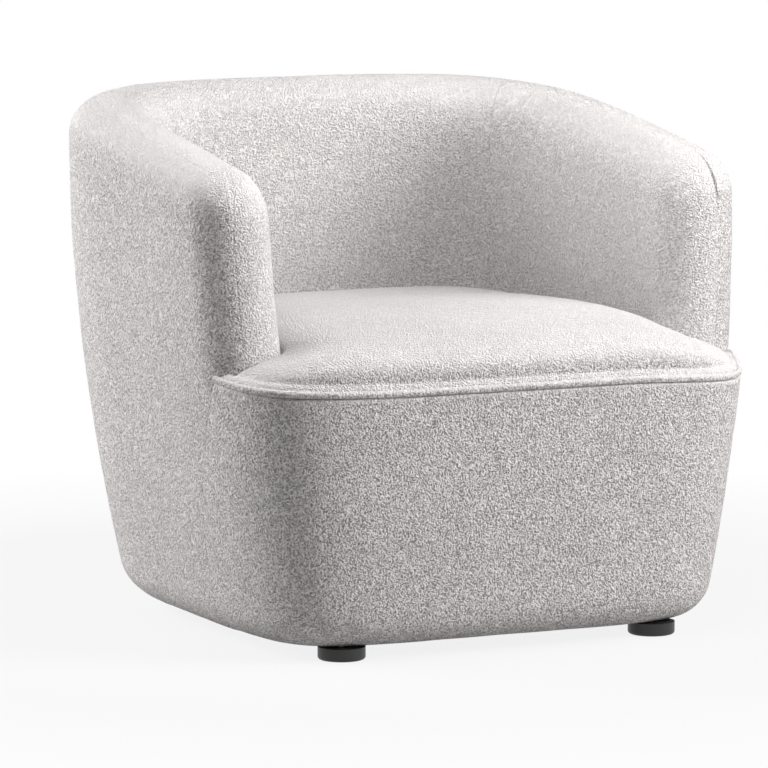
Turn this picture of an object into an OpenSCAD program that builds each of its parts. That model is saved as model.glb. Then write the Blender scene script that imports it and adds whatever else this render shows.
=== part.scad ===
/* [Overall size] */
// Width of the chair at its widest level
chair_w = 794; // [740:1:860]
// Depth of the chair from front panel to back
chair_d = 804; // [770:1:850]
// Height of the rim at the centre of the back
chair_h = 700; // [680:1:740]
// Height of the body's underside above the floor
body_base_h = 17; // [12:1:30]
// Height of the seam between seat and front panel
seat_seam_h = 344; // [335:1:352]
// Height at which the body is widest
belly_h = 636; // [590:1:650]

/* [Body curves] */
// How far each side draws in towards the base
side_taper = 62; // [40:1:68]
// How far the back draws in towards the base
back_taper = 110; // [60:1:120]
// How far the front draws in towards the base
front_taper = 28; // [10:1:34]
// Radius of the bottom edge
base_edge_r = 44; // [36:1:50]
// Squareness of the plan's back half, 2 is an ellipse
back_squareness = 3.06; // [2.6:0.02:3.4]
// Squareness of the plan's front half, 2 is an ellipse
front_squareness = 5.4; // [4.8:0.1:6]

/* [Arms and rim] */
// Thickness of the arms and of the back
wall_t = 111.5; // [105:0.5:120]
// Radius that rounds the rim
rim_r = 50; // [44:1:52]
// Fall of the rim from the back to the arm fronts
rim_drop = 81; // [50:1:95]
// How the rim falls, 1 is a straight slope
rim_fall_power = 1.47; // [1:0.01:2]
// Distance from the front to where the arms start to round at the rim
arm_rim_inset = 197; // [187:1:204]
// Distance from the front to where the arms start to round at the seat
arm_seat_inset = 170; // [164:1:178]
// Distance from the front to the panel seam at the base
side_seam_inset = 216; // [200:1:230]
// Angle of the inside back panel's seams, from the side
inside_seam_deg = 36; // [30:1:42]

/* [Seat] */
// Rise of the seat's crown over its edges
seat_crown = 42; // [30:1:50]
// Rise of the seat seam around the front corners
seam_rise = 21; // [12:1:22]
// Height of the seat's back edge above the seam
seat_back_rise = 44; // [38:1:52]
// Height of the seat's side edges above the seam
seat_side_rise = 44; // [38:1:50]
// Height of the seat's edges beside the arm fronts
seat_front_rise = 36; // [32:1:42]
// Radius of the welt
welt_r = 4; // [3:0.1:4.5]

/* [Upholstery] */
// Thickness of the cover with its wadding
cover_t = 2.5; // [2:0.1:3]
// Thickness of the foam on the outside
outer_foam_t = 12.5; // [10:0.1:13]
// Thickness of the foam board behind it
wall_board_t = 3.6; // [3:0.1:4]
// Thickness of the inner liner
liner_t = 2; // [1.5:0.1:2.5]
// Height of foam over the top rail
rim_foam_t = 33; // [30:1:38]
// Thickness of the seat's felt pad
felt_t = 2.5; // [2:0.1:4]

/* [Frame] */
// Width of the uprights and the top rail in the wall
upright_w = 42; // [38:1:44]
// Thickness of the uprights
upright_t = 22; // [18:1:25]
// Thickness of the seat rails
rail_t = 24; // [20:1:26]
// Depth of the seat rails' top below the seat seam
rail_drop = 52; // [48:1:58]
// Height of the side and rear seat rails
side_rail_h = 67; // [60:1:75]
// Height of the front seat rail
front_rail_h = 90; // [80:1:110]
// Thickness of the top rail
top_rail_t = 28; // [24:1:32]
// Thickness of the base ring
ring_t = 22; // [18:1:25]
// Width of the base ring
ring_w = 60; // [52:1:75]
// Thickness of the arm front boards
facing_t = 12; // [9:1:15]

/* [Springs] */
// Number of sinuous springs
spring_count = 5; // [4:1:6]
// Wire radius of the springs
wire_r = 1.9; // [1.6:0.1:2]
// Width of the springs' loops
spring_w = 46; // [40:1:52]
// Number of loops in one spring
spring_loops = 20; // [16:2:24]
// Arch of the springs
spring_rise = 8; // [6:0.5:9]

/* [Feet] */
// Radius of the feet
foot_r = 31; // [26:1:33]
// Radius of the feet's lower edge
foot_edge_r = 4; // [3:0.5:5]
// Distance of the front feet in from the chair's side
foot_front_side_inset = 172; // [169:1:182]
// Distance of the front feet back from the chair's front
foot_front_inset = 77; // [75:1:84]
// Distance of the rear feet in from the chair's side
foot_rear_side_inset = 207; // [201:1:215]
// Distance of the rear feet in from the chair's back
foot_rear_inset = 209; // [202:1:216]

/* [Hidden] */

// Gap between pieces that fit against each other
fit_gap = 0.3;
// Gap between cover panels at a seam
seam_gap = 0.6;
// Gap between the cover and its foam
skin_gap = 0.5;
// Overrun of a cut past the face it opens
overrun = 1;

// Depths through the wall, measured in from its outer face
outer_foam_d = cover_t + skin_gap;
board_d = outer_foam_d + outer_foam_t + fit_gap;
frame_d = board_d + wall_board_t + fit_gap;
liner_d = frame_d + upright_w + fit_gap;
inner_foam_d = liner_d + liner_t + fit_gap;

// Places measured from mid depth and from the centre line
arm_rim_y = chair_d / 2 - arm_rim_inset;
arm_seat_y = chair_d / 2 - arm_seat_inset;
side_seam_base_y = chair_d / 2 - side_seam_inset;
foot_front_x = chair_w / 2 - foot_front_side_inset;
foot_front_y = chair_d / 2 - foot_front_inset;
foot_rear_x = chair_w / 2 - foot_rear_side_inset;
foot_rear_y = chair_d / 2 - foot_rear_inset;

// Heights of the frame
rail_top_h = seat_seam_h - rail_drop;
ring_h = body_base_h + cover_t + fit_gap;
ring_top_h = ring_h + ring_t;
ring_rebate_h = ring_h + ring_t / 3;
ring_rebate_d = 0.57 * base_edge_r;
rim_centre_h = chair_h - rim_r;
top_rail_top_h = chair_h - rim_foam_t;
top_rail_h = top_rail_top_h - top_rail_t;
rail_bottom_h = rail_top_h - side_rail_h;
wall_base_h = body_base_h + base_edge_r;
arm_front_lift = 9.5;
arm_front_base_h = seat_seam_h + seam_rise + arm_front_lift;

// Nose: the rounded front of an arm
nose_r = wall_t / 2;

// Where the rim's outer seam sits on its rounding
rim_seam_deg = 69;
rim_seam_gap_deg = seam_gap / rim_r * 180 / PI / 2;
// How far round an arm front its outer panel goes
nose_outer_deg = 62;
nose_gap_deg = seam_gap / nose_r * 180 / PI;

// Steps in which curved pieces are divided
rear_step_shares = [0, 0.16, 0.3, 0.45];
corner_step_shares = [0.7, 0.8, 0.9, 1];
side_step_shares = [0.25, 0.5, 0.75, 1];
seam_share = 1 - inside_seam_deg / 90;
nose_steps = 5;
roll_steps = 3;

turn_in = 8;
welt_out = 0.1 * welt_r;
front_belly_d = chair_d / 2 - welt_out + front_taper * taper(seat_seam_h);
// Stations along the wall
right_back_stations = concat(rear_step_shares, [seam_share]);
side_stations = [for (s = side_step_shares) 1 + s];
right_stations = concat(right_back_stations, corner_step_shares, side_stations);
all_stations = concat([for (u = backwards(right_stations)) if (u > 0) -u], right_stations);
nose_stations = [for (i = [1 : nose_steps]) 2 + i / nose_steps];
// A small shift of a station, so that panels don't touch at a seam
station_gap = seam_gap / chair_w;
back_seam_station = 1 - acos(pow(seam_gap / chair_w, back_squareness / 2)) / 90;
// Heights of the rows that all layers of the wall share
low_hs = concat([wall_base_h], between(wall_base_h, rail_top_h, 3));
lip_hs = [seat_seam_h, arm_front_base_h];
high_hs = concat(between(arm_front_base_h, top_rail_h, 3), [rim_centre_h]);
wall_hs = concat(low_hs, lip_hs, high_hs);
inside_hs = concat([rail_top_h + fit_gap], lip_hs, high_hs);
frame_high_hs = [for (h = high_hs) if (h <= top_rail_h) h];
board_hs = concat(low_hs, lip_hs, frame_high_hs, [top_rail_top_h]);
liner_hs = concat([rail_top_h + fit_gap], lip_hs, frame_high_hs, [top_rail_top_h]);
upright_hs = concat([ring_top_h], low_hs, lip_hs, [for (h = high_hs) if (h < top_rail_h) h]);
front_hs = concat(low_hs, [seat_seam_h]);
nose_row = len(low_hs) + 1;
front_steps = 16;

// The front seam: where it starts to rise and where it ends, in from the front
seam_turn_inset = 14;
seam_end_inset = 136.3;
seam_turn_y = chair_d / 2 - seam_turn_inset;
seam_end_y = chair_d / 2 - seam_end_inset;
welt_end_inset = 126.2;
welt_end_y = chair_d / 2 - welt_end_inset;
welt_d = welt_r - welt_out;
welt_gap = 2 * fit_gap;
welt_steps = 28;
welt_sides = 8;

// The seat's outline and crown
seat_end_deg = 60;
seat_edge_d = 1;
seat_corner_share = 0.28;
seat_side_share = 0.45;
crown_power = 2.8;
crown_forward_share = 0.16;
seat_s_shares = [0, 0.04, 0.1, 0.18, 0.27, 0.36, 0.45, 0.55, 0.64, 0.73, 0.82, 0.9, 0.96, 1];
seat_t_shares = [0, 0.05, 0.13, 0.22, 0.32, 0.42, 0.52, 0.62, 0.7, 0.76, 0.82, 0.88, 0.94, 1];

// Boards across the arms, behind their rounded fronts
facing_setback = 11.3;
facing_front_y = arm_rim_y - facing_setback;
facing_back_y = facing_front_y - facing_t;
arm_front_pad_y = facing_front_y + fit_gap;
pad_end_y = facing_back_y - fit_gap;
frame_end_y = facing_back_y;

// Uprights and the seat rails set against them
upright_foot_w = 90;
upright_foot_gap = 5.3;
rear_upright_x = foot_rear_x - upright_foot_w / 2 - upright_foot_gap;
rear_upright_shares = [-1, 0, 1];
side_upright_shares = [-0.15, 0.27];
side_rail_d = frame_d + upright_w + rail_t + fit_gap;
side_rail_x = half_w(rail_bottom_h) - side_rail_d;
post_forward = 3.5;
post_d = 69;
post_w = 24.6;
post_y = nose_y(seat_seam_h) + post_forward;
fall_at_post = rim_fall(-post_y - post_d / 2) * fall_share(arm_front_base_h) + 2 * fit_gap;
rail_front_share = 0.741;
rail_back_share = 0.494;
side_rail_front_y = rail_front_share * chair_d / 2;
side_rail_back_y = rail_back_share * chair_d / 2;
rear_rail_share = 0.479;
rear_rail_x = rear_rail_share * chair_w / 2;
front_rail_share = 0.542;
front_rail_x = front_rail_share * chair_w / 2;
front_rail_base_h = rail_top_h - front_rail_h;
front_rail_y = lookup(front_rail_x, front_outline(frame_d + fit_gap, front_rail_base_h, seam_gap));

// Screws that hold the rails to the uprights
screw_r = 2.5;
screw_bore_r = screw_r + fit_gap;
screw_head_r = 5;
screw_head_t = 3;
screw_l = 44;
screw_hs = [rail_bottom_h + side_rail_h / 4, rail_top_h - side_rail_h / 4];
side_screw_ys = concat([for (s = side_upright_shares) s * chair_d / 2], [-post_y]);

// Springs and their clips
clip_t = 1.5;
clip_w = 16;
clip_d = 12;
spring_pitch_share = 0.167;
spring_pitch = spring_pitch_share * (chair_w - 2 * wall_t);
outer_spring_x = (spring_count - 1) / 2 * spring_pitch;
rear_clip_y = rear_chord_y(outer_spring_x + clip_w / 2, wall_t, rail_top_h) - 2 * fit_gap - clip_d;
rear_rail_y = rear_clip_y + rail_t;
spring_front_y = front_rail_y + rail_t / 2;
spring_rear_y = rear_clip_y + clip_d / 2;
spring_h = rail_top_h + clip_t + fit_gap + wire_r;
spring_steps = 4;
spring_sides = 5;
felt_base_h = spring_h + wire_r + spring_rise + fit_gap;
felt_top_h = felt_base_h + felt_t;

// Underside
dust_cover_t = 1.2;
stud_r = 4;
nut_r = 5;
nut_flange_r = 11;
nut_flange_t = 2;
nut_l = 12;
stud_start_h = 5;
foot_h = body_base_h - fit_gap;
foot_places = [[-foot_front_x, -foot_front_y], [foot_front_x, -foot_front_y],
    [-foot_rear_x, foot_rear_y], [foot_rear_x, foot_rear_y]];

// Taper of the body at a height: 0 at the widest level, 1 at the base
function taper(z) = z < belly_h ? pow((belly_h - z) / (belly_h - body_base_h), 2) : 0;
function half_w(z) = chair_w / 2 - side_taper * taper(z);
function rear_d(z) = chair_d / 2 - back_taper * taper(z);
function front_d(z) = front_belly_d - front_taper * taper(z);
function signed_pow(v, n) = sign(v) * pow(abs(v), 2 / n);

// Points of the plan at height z, a depth d in from its outline
function rear_pt(deg, d, z) = [
    (half_w(z) - d) * signed_pow(cos(deg), back_squareness),
    (rear_d(z) - d) * signed_pow(sin(deg), back_squareness)];
function front_pt(deg, d, z) = [
    (half_w(z) - d) * signed_pow(cos(deg), front_squareness),
    -(front_d(z) - d) * signed_pow(sin(deg), front_squareness)];
function curve_share(v, n) = pow(max(0, 1 - pow(min(1, v), n)), 1 / n);
function side_x(y, z) = half_w(z) * (y < 0
    ? curve_share(-y / front_d(z), front_squareness)
    : curve_share(y / rear_d(z), back_squareness));
function rear_y(x, z) = rear_d(z) * curve_share(abs(x) / half_w(z), back_squareness);
// Angle on the front outline at a distance y in front of mid depth
function front_deg(y, d, z) = asin(pow(y / (front_d(z) - d), front_squareness / 2));

// Distance from mid depth at which an arm front starts to round
function nose_y(z) = arm_seat_y + (arm_rim_y - arm_seat_y)
    * max(0, min(1, (z - seat_seam_h) / (chair_h - seat_seam_h)));
// Distance from mid depth at which the side panel ends
function side_end_y(z) = let(top = seat_seam_h + seam_rise) z >= top ? nose_y(z)
    : side_seam_base_y + (nose_y(top) - side_seam_base_y)
        * pow(max(0, z - wall_base_h) / (top - wall_base_h), 2);
function nose_centre(z) = [side_x(-nose_y(z), z) - nose_r, -nose_y(z)];
// Point on an arm front, turned by a share of its sweep, outer and inner halves apart
function nose_pt(share, d, z) = let(q = nose_r - d,
    turn = q >= 0 ? -share * nose_outer_deg : share * (180 - nose_outer_deg - nose_gap_deg))
    nose_centre(z) + q * [cos(turn), sin(turn)];

// Point along the wall: u runs 0 to 1 round the back, 1 to 2 along the side,
// 2 to 3 round the arm front, and is negative on the left
function right_pt(u, d, z, end_y) = u <= 1 ? rear_pt(90 * (1 - u), d, z)
    : u <= 2 ? [side_x(-end_y * (u - 1), z) - d, -end_y * (u - 1)]
    : nose_pt(u - 2, d, z);
// The rim falls towards the arm fronts, and the wall below it follows by a share
function rim_fall(y) = rim_drop * pow(max(0, chair_d / 2 - y)
    / (chair_d / 2 + arm_rim_y + nose_r), rim_fall_power);
function fall_share(h) = max(0, min(1, (h - seat_seam_h)
    / (rim_centre_h - top_rail_t - seat_seam_h)));
function wall_pt(u, d, h, fixed_y = 0) = let(
    end = fixed_y > 0 ? fixed_y : side_end_y(h),
    guess = right_pt(abs(u), d, h, end),
    z = h - rim_fall(guess[1]) * fall_share(h),
    p = right_pt(abs(u), d, z, fixed_y > 0 ? fixed_y : side_end_y(z)))
    [sign(u) < 0 ? -p[0] : p[0], p[1], z];

function between(a, b, n) = [for (i = [1 : n]) a + (b - a) * i / n];

// Profiles through the wall, as depth and height, at a layer's depth g
function face_rows(g, hs) = [for (h = hs) [g, h]];
function roll_row(g, deg) = [
    rim_r - (rim_r - g) * cos(deg), rim_centre_h + (rim_r - g) * sin(deg)];
function outer_roll(g, to_deg) = [for (i = [1 : roll_steps]) roll_row(g, to_deg * i / roll_steps)];
function full_roll(g) = concat(outer_roll(g, rim_seam_deg), [roll_row(g, 90)]);
function flip_rows(rows) = [for (i = [len(rows) - 1 : -1 : 0]) [wall_t - rows[i][0], rows[i][1]]];
function ridge_row(g) = [wall_t / 2, chair_h - g];
function inner_rows(g, hs) = flip_rows(concat(face_rows(g, hs), full_roll(g)));
function edge_rows(g) = concat(
    [[base_edge_r + turn_in, body_base_h + g]],
    [for (i = [0 : roll_steps - 1]) let(deg = 90 * i / roll_steps)
        [base_edge_r - (base_edge_r - g) * sin(deg),
            wall_base_h - (base_edge_r - g) * cos(deg)]]);

function backwards(list) = [for (i = [len(list) - 1 : -1 : 0]) list[i]];

// The same outline as the layers show it, straight between their stations
function side_chord_x(y, z) = let(end = side_end_y(z))
    lookup(y, [for (a = concat([0], side_step_shares)) [-end * a, side_x(-end * a, z)]]);
function wall_chord_x(y, d, z) = lookup(y,
    [for (u = right_stations) let(p = right_pt(u, d, z, frame_end_y)) [p[1], p[0]]]);
function rear_chord_y(x, d, z) = lookup(x,
    [for (u = [for (v = right_stations) if (v < 1) v]) let(p = right_pt(u, d, z, 0)) p]);
function front_outline(d, z, gap) = let(
    end_z = z > seat_seam_h - welt_gap ? z + seam_rise : z,
    start = front_deg(side_end_y(end_z) + gap, d, z))
    [for (i = [0 : front_steps]) let(spread = 1 - cos(180 * i / front_steps),
        deg = start + (180 - 2 * start) * spread / 2) front_pt(180 - deg, d, z)];
function station_plan(d, z) = let(end = side_end_y(z),
    right = [for (u = right_stations) if (u > 0) right_pt(u, d, z, end)])
    concat([[0, rear_d(z) - d]], [for (p = right) [-p[0], p[1]]], front_outline(d, z, seam_gap),
        backwards(right));

// Closed solid between two grids of points, with cells left out where keep is false
function grid_keep(keep, i, k) = i >= 0 && k >= 0 && i < len(keep) && k < len(keep[0])
    && keep[i][k];
module between_grids(a, b, keep, flip = false) {
    nk = len(a[0]);
    n = len(a) * nk;
    points = concat([for (row = a) each row], [for (row = b) each row]);
    faces = [for (i = [0 : len(a) - 2]) for (k = [0 : nk - 2]) if (keep[i][k])
        let(p = i * nk + k, q = p + nk, r = q + 1, s = p + 1,
            halves = a[i][k][0] + a[i + 1][k][0] < 0 ? [[p, q, s], [q, r, s]] : [[p, q, r], [p, r, s]])
        each concat(halves, [for (h = halves) [h[0] + n, h[2] + n, h[1] + n]],
            grid_keep(keep, i, k - 1) ? [] : [[q, p, p + n], [q, p + n, q + n]],
            grid_keep(keep, i + 1, k) ? [] : [[r, q, q + n], [r, q + n, r + n]],
            grid_keep(keep, i, k + 1) ? [] : [[s, r, r + n], [s, r + n, s + n]],
            grid_keep(keep, i - 1, k) ? [] : [[p, s, s + n], [p, s + n, p + n]])];
    solid_faces = [for (f = faces) if (points[f[0]] != points[f[1]]
        && points[f[1]] != points[f[2]] && points[f[2]] != points[f[0]])
        flip ? f : [f[2], f[1], f[0]]];
    polyhedron(points, solid_faces, convexity = 8);
}
function all_cells(nu, nk) = [for (i = [0 : nu - 2]) [for (k = [0 : nk - 2]) true]];

// A layer of the wall between two profiles, along a list of stations
module wall_layer(stations, outer, inner, end_y = 0, keep = [], flip = false) {
    a = [for (u = stations) [for (r = outer) wall_pt(u, r[0], r[1], end_y)]];
    b = [for (u = stations) [for (r = inner) wall_pt(u, r[0], r[1], end_y)]];
    cells = len(keep) > 0 ? keep : all_cells(len(stations), len(outer));
    between_grids(a, b, cells, flip);
}

// A solid through closed rings of points, capped at both ends
module through_rings(rings) {
    n = len(rings[0]);
    m = len(rings);
    centres = [for (r = [rings[0], rings[m - 1]]) [for (c = [0 : 2]) mean([for (p = r) p[c]])]];
    points = concat([for (r = rings) each r], centres);
    sides = [for (i = [0 : m - 2]) for (k = [0 : n - 1])
        let(p = i * n + k, q = i * n + (k + 1) % n) each [[p, q + n, q], [p, p + n, q + n]]];
    caps = [for (k = [0 : n - 1]) each [
        [k, (k + 1) % n, m * n],
        [(m - 1) * n + (k + 1) % n, (m - 1) * n + k, m * n + 1]]];
    polyhedron(points, concat(sides, caps), convexity = 8);
}
function mean(list, i = 0) = i == len(list) ? 0 : list[i] / len(list) + mean(list, i + 1);

module left_of() { mirror([1, 0, 0]) children(); }
module standing(z) { translate([0, 0, z]) children(); }

// Cover panels
module outer_cover_half() {
    end_deg = rim_seam_deg - rim_seam_gap_deg;
    rows = concat(edge_rows(0), face_rows(0, wall_hs), outer_roll(0, end_deg));
    lining = concat(edge_rows(cover_t), face_rows(cover_t, wall_hs), outer_roll(cover_t, end_deg));
    stations = concat([back_seam_station], [for (u = right_stations) if (u > 0) u], nose_stations);
    side_count = len(stations) - nose_steps;
    first_nose_row = roll_steps + 1 + nose_row;
    keep = [for (i = [0 : len(stations) - 2]) [for (k = [0 : len(rows) - 2])
        i < side_count - 1 || k >= first_nose_row]];
    wall_layer(stations, rows, lining, keep = keep, flip = true);
}
module outer_cover_left() { color("#d8d4cc") left_of() outer_cover_half(); }
module outer_cover_right() { color("#d8d4cc") outer_cover_half(); }

// Rows of an inside panel, from the rim's outer seam over the top and down to the seat
function inside_rows(g) = concat(
    [roll_row(g, rim_seam_deg + rim_seam_gap_deg), roll_row(g, 90), ridge_row(g)],
    inner_rows(g, inside_hs));
module inside_back_cover() {
    half = concat(rear_step_shares, [seam_share - station_gap]);
    stations = concat([for (u = backwards(half)) if (u > 0) -u], half);
    color("#dedad3") wall_layer(stations, inside_rows(0), inside_rows(cover_t), flip = true);
}
module inside_arm_half() {
    stations = concat([seam_share + station_gap], corner_step_shares, side_stations, nose_stations);
    nk = len(inside_rows(0));
    side_count = len(stations) - nose_steps;
    keep = [for (i = [0 : len(stations) - 2]) [for (k = [0 : nk - 2])
        i < side_count - 1 || k < nk - 3]];
    wall_layer(stations, inside_rows(0), inside_rows(cover_t), keep = keep, flip = true);
}
module inside_arm_cover_left() { color("#dedad3") left_of() inside_arm_half(); }
module inside_arm_cover_right() { color("#dedad3") inside_arm_half(); }

// The front seam rises round the corners
function seam_z(y) = seat_seam_h + seam_rise
    * pow(max(0, min(1, (y + seam_turn_y) / (seam_turn_y - seam_end_y))), 2);

// A strip round the front between the side seams, following height rows
function front_strip(rows, gap) = let(lines = [for (r = rows) front_outline(r[0], r[1], gap)])
    [for (i = [0 : front_steps]) [for (k = [0 : len(rows) - 1])
        let(p = lines[k][i], z = rows[k][1])
        [p[0], p[1], z > seat_seam_h - welt_gap ? z - seat_seam_h + seam_z(p[1]) : z]]];
module front_strip_solid(outer, inner, gap) {
    between_grids(front_strip(outer, gap), front_strip(inner, gap),
        all_cells(front_steps + 1, len(outer)));
}
module front_cover() {
    color("#d5d1c9") difference() {
        front_strip_solid(concat(edge_rows(0), face_rows(0, front_hs)),
            concat(edge_rows(cover_t), face_rows(cover_t, front_hs)), seam_gap);
        stud_holes();
    }
}
module front_padding() {
    hs = concat(low_hs, [seat_seam_h - fit_gap]);
    color("#e9e2b8") front_strip_solid(face_rows(outer_foam_d, hs),
        face_rows(outer_foam_d + outer_foam_t, hs), seam_gap + fit_gap);
}
module front_board() {
    color("#8a6a45") front_strip_solid(face_rows(board_d, low_hs),
        face_rows(board_d + wall_board_t, low_hs), seam_gap + fit_gap);
}

// Seat surface: a patch between the back curve, the arms and the front curve
function seat_edge_h(y) = seam_z(y) + 2 * welt_gap + 2 * welt_r + cover_t;
function seat_back_pt(s) = let(deg = 135 - 90 * s, p = rear_pt(deg, wall_t + fit_gap, rail_top_h))
    [p[0], p[1], seat_seam_h + seat_back_rise];
function blend(a, b, t) = a + (b - a) * t;
function seat_side_pt(t) = let(z = seat_seam_h, side_share = seat_corner_share + seat_side_share)
    t < seat_corner_share ? let(q = t / seat_corner_share,
        p = rear_pt(45 * (1 - q), wall_t + fit_gap, rail_top_h))
        [p[0], p[1], z + blend(seat_back_rise, seat_side_rise, q)]
    : t < side_share ? let(q = (t - seat_corner_share) / seat_side_share, y = -nose_y(z) * q)
        [side_x(y, rail_top_h) - wall_t - fit_gap, y, z + blend(seat_side_rise, seat_front_rise, q)]
    : t < 1 ? let(q = (t - side_share) / (1 - side_share), turn = 180 + (180 - seat_end_deg) * q,
        c = nose_centre(z), r = nose_r + 2 * fit_gap, end = c[1] - r * sin(seat_end_deg))
        [c[0] + r * cos(turn), c[1] + r * sin(turn),
            blend(z + seat_front_rise, seat_edge_h(end), q)]
    : seat_front_pt(1);
function seat_front_pt(s) = let(z = seat_seam_h,
    end = nose_y(z) + (nose_r + fit_gap) * sin(seat_end_deg), start = front_deg(end, seat_edge_d, z),
    p = front_pt(180 - start - (180 - 2 * start) * s, seat_edge_d, z))
    [p[0], p[1], seat_edge_h(p[1])];
function flip_x(p) = [-p[0], p[1], p[2]];
function crown(s, t) = let(v = min(1, t + 4 * crown_forward_share * t * (1 - t)))
    (1 - pow(abs(2 * s - 1), crown_power)) * (1 - pow(abs(2 * v - 1), crown_power));
function seat_pt(s, t) = let(
    side = seat_side_pt(t), back_end = seat_back_pt(1), front_end = seat_front_pt(1),
    base = blend(seat_back_pt(s), seat_front_pt(s), t) + blend(flip_x(side), side, s)
        - blend(blend(flip_x(back_end), back_end, s), blend(flip_x(front_end), front_end, s), t))
    base + [0, 0, seat_crown * crown(s, t)];
function seat_grid(drop, skip) = [for (i = [skip : len(seat_s_shares) - 1 - skip])
    [for (k = [skip : len(seat_t_shares) - 1 - skip])
        seat_pt(seat_s_shares[i], seat_t_shares[k]) - [0, 0, drop]]];
function flat_grid(grid, z) = [for (row = grid) [for (p = row) [p[0], p[1], z]]];
module seat_cover() {
    top = seat_grid(0, 0);
    color("#e4e1da") between_grids(top, seat_grid(cover_t, 0), all_cells(len(top), len(top[0])),
        flip = true);
}
// Space that the front padding and the welt take from the seat's filling
module front_edge_space() {
    hs = [rail_top_h, seat_seam_h, seat_seam_h + fit_gap, seat_seam_h + seam_rise];
    padding_d = board_d;
    edge_d = welt_d + welt_r + fit_gap;
    inner = [[padding_d, hs[0]], [padding_d, hs[1]], [edge_d, hs[2]], [edge_d, hs[3]]];
    front_strip_solid(face_rows(-2 * welt_r, hs), inner, 0);
}
module seat_foam() {
    top = seat_grid(cover_t + fit_gap, 1);
    color("#e9e2b8") difference() {
        between_grids(top, flat_grid(top, felt_top_h + fit_gap),
            all_cells(len(top), len(top[0])), flip = true);
        front_edge_space();
    }
}
module felt_pad() {
    grid = seat_grid(0, 1);
    n = len(grid);
    m = len(grid[0]);
    outline = concat([for (k = [0 : m - 1]) grid[0][k]], [for (i = [1 : n - 1]) grid[i][m - 1]],
        [for (k = [m - 2 : -1 : 0]) grid[n - 1][k]], [for (i = [n - 2 : -1 : 1]) grid[i][0]]);
    color("#6d6a66") difference() {
        standing(felt_base_h) linear_extrude(height = felt_t)
            polygon([for (p = outline) [p[0], p[1]]]);
        front_edge_space();
    }
}

// Welt under the front edge of the seat
module seat_welt() {
    start = front_deg(welt_end_y, welt_d, seat_seam_h);
    function centre(i) = let(spread = 1 - cos(180 * i / welt_steps),
        deg = start + (180 - 2 * start) * spread / 2, p = front_pt(180 - deg, welt_d, seat_seam_h))
        [p[0], p[1], seam_z(p[1]) + welt_gap + welt_r];
    rings = [for (i = [0 : welt_steps]) let(
        a = centre(max(0, i - 1)), b = centre(min(welt_steps, i + 1)),
        along = (b - a) / norm(b - a), out = cross(along, [0, 0, 1]) / norm(cross(along, [0, 0, 1])))
        [for (k = [0 : welt_sides - 1]) let(w = -360 * k / welt_sides)
            centre(i) + welt_r * (cos(w) * out + sin(w) * cross(out, along))]];
    color("#c9c5bd") through_rings(rings);
}

// Foam over the frame: an outer leg, the rim and a thicker inner leg
function foam_skin(g) = concat(face_rows(g, wall_hs), full_roll(g), [ridge_row(g)],
    inner_rows(g, inside_hs));
function foam_core() = let(
    top = top_rail_top_h + fit_gap,
    out_d = board_d - fit_gap,
    in_d = inner_foam_d,
    leg_h = function(h) h > top_rail_h ? top : h,
    over_steps = roll_steps + 1,
    outer_leg = [for (h = wall_hs) [out_d, leg_h(h)]],
    over = [for (i = [1 : over_steps]) [blend(out_d, wall_t / 2, i / (over_steps + 1)), top]],
    over_in = [for (i = [over_steps : -1 : 1])
        [blend(in_d, wall_t / 2, i / (over_steps + 1)), top]],
    inner_leg = [for (h = backwards(inside_hs)) [in_d, leg_h(h)]])
    concat(outer_leg, over, [[wall_t / 2, top]], over_in, inner_leg);
module back_padding() {
    half = concat(rear_step_shares, [seam_share - station_gap]);
    stations = concat([for (u = backwards(half)) if (u > 0) -u], half);
    color("#e9e2b8") wall_layer(stations, foam_skin(outer_foam_d), foam_core(), pad_end_y,
        flip = true);
}
module arm_padding_half() {
    stations = concat([seam_share + station_gap], corner_step_shares, side_stations);
    color("#e9e2b8") wall_layer(stations, foam_skin(outer_foam_d), foam_core(), pad_end_y,
        flip = true);
}
module arm_padding_left() { left_of() arm_padding_half(); }
module arm_padding_right() { arm_padding_half(); }

// Foam that rounds the front of an arm, on its board
function arm_front_ring(g, h) = let(
    flat = function(d, y) let(z = h - rim_fall(-y) * fall_share(h))
        [side_chord_x(-y, z) - d, -y, z],
    out = [flat(g, arm_front_pad_y), flat(g, nose_y(h))],
    back = [flat(wall_t - g, nose_y(h)), flat(wall_t - g, arm_front_pad_y)],
    arc = [for (i = [1 : 7]) let(turn = -180 * i / 8, c = nose_centre(h),
        y = c[1] + (nose_r - g) * sin(turn), z = h - rim_fall(y) * fall_share(h))
        [nose_centre(z)[0] + (nose_r - g) * cos(turn), y, z]])
    concat(out, arc, back);
module arm_front_padding_half() {
    rows = concat(face_rows(outer_foam_d, concat([arm_front_base_h], high_hs)),
        full_roll(outer_foam_d));
    color("#e9e2b8") through_rings([for (r = rows) backwards(arm_front_ring(r[0], r[1]))]);
}
module arm_front_padding_left() { left_of() arm_front_padding_half(); }
module arm_front_padding_right() { arm_front_padding_half(); }

module facing_half() {
    rows = concat(face_rows(outer_foam_d, inside_hs), full_roll(outer_foam_d),
        inner_rows(outer_foam_d, inside_hs));
    outline = [for (r = rows) let(z = r[1] - rim_fall(-facing_front_y) * fall_share(r[1]),
        y = r[0] > wall_t / 2 ? facing_back_y : facing_front_y)
        [side_chord_x(-y, z) - r[0], z]];
    color("#c8a878") translate([0, -facing_back_y, 0]) rotate([90, 0, 0])
        linear_extrude(height = facing_t) polygon(outline);
}
module arm_facing_left() { left_of() facing_half(); }
module arm_facing_right() { facing_half(); }

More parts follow.
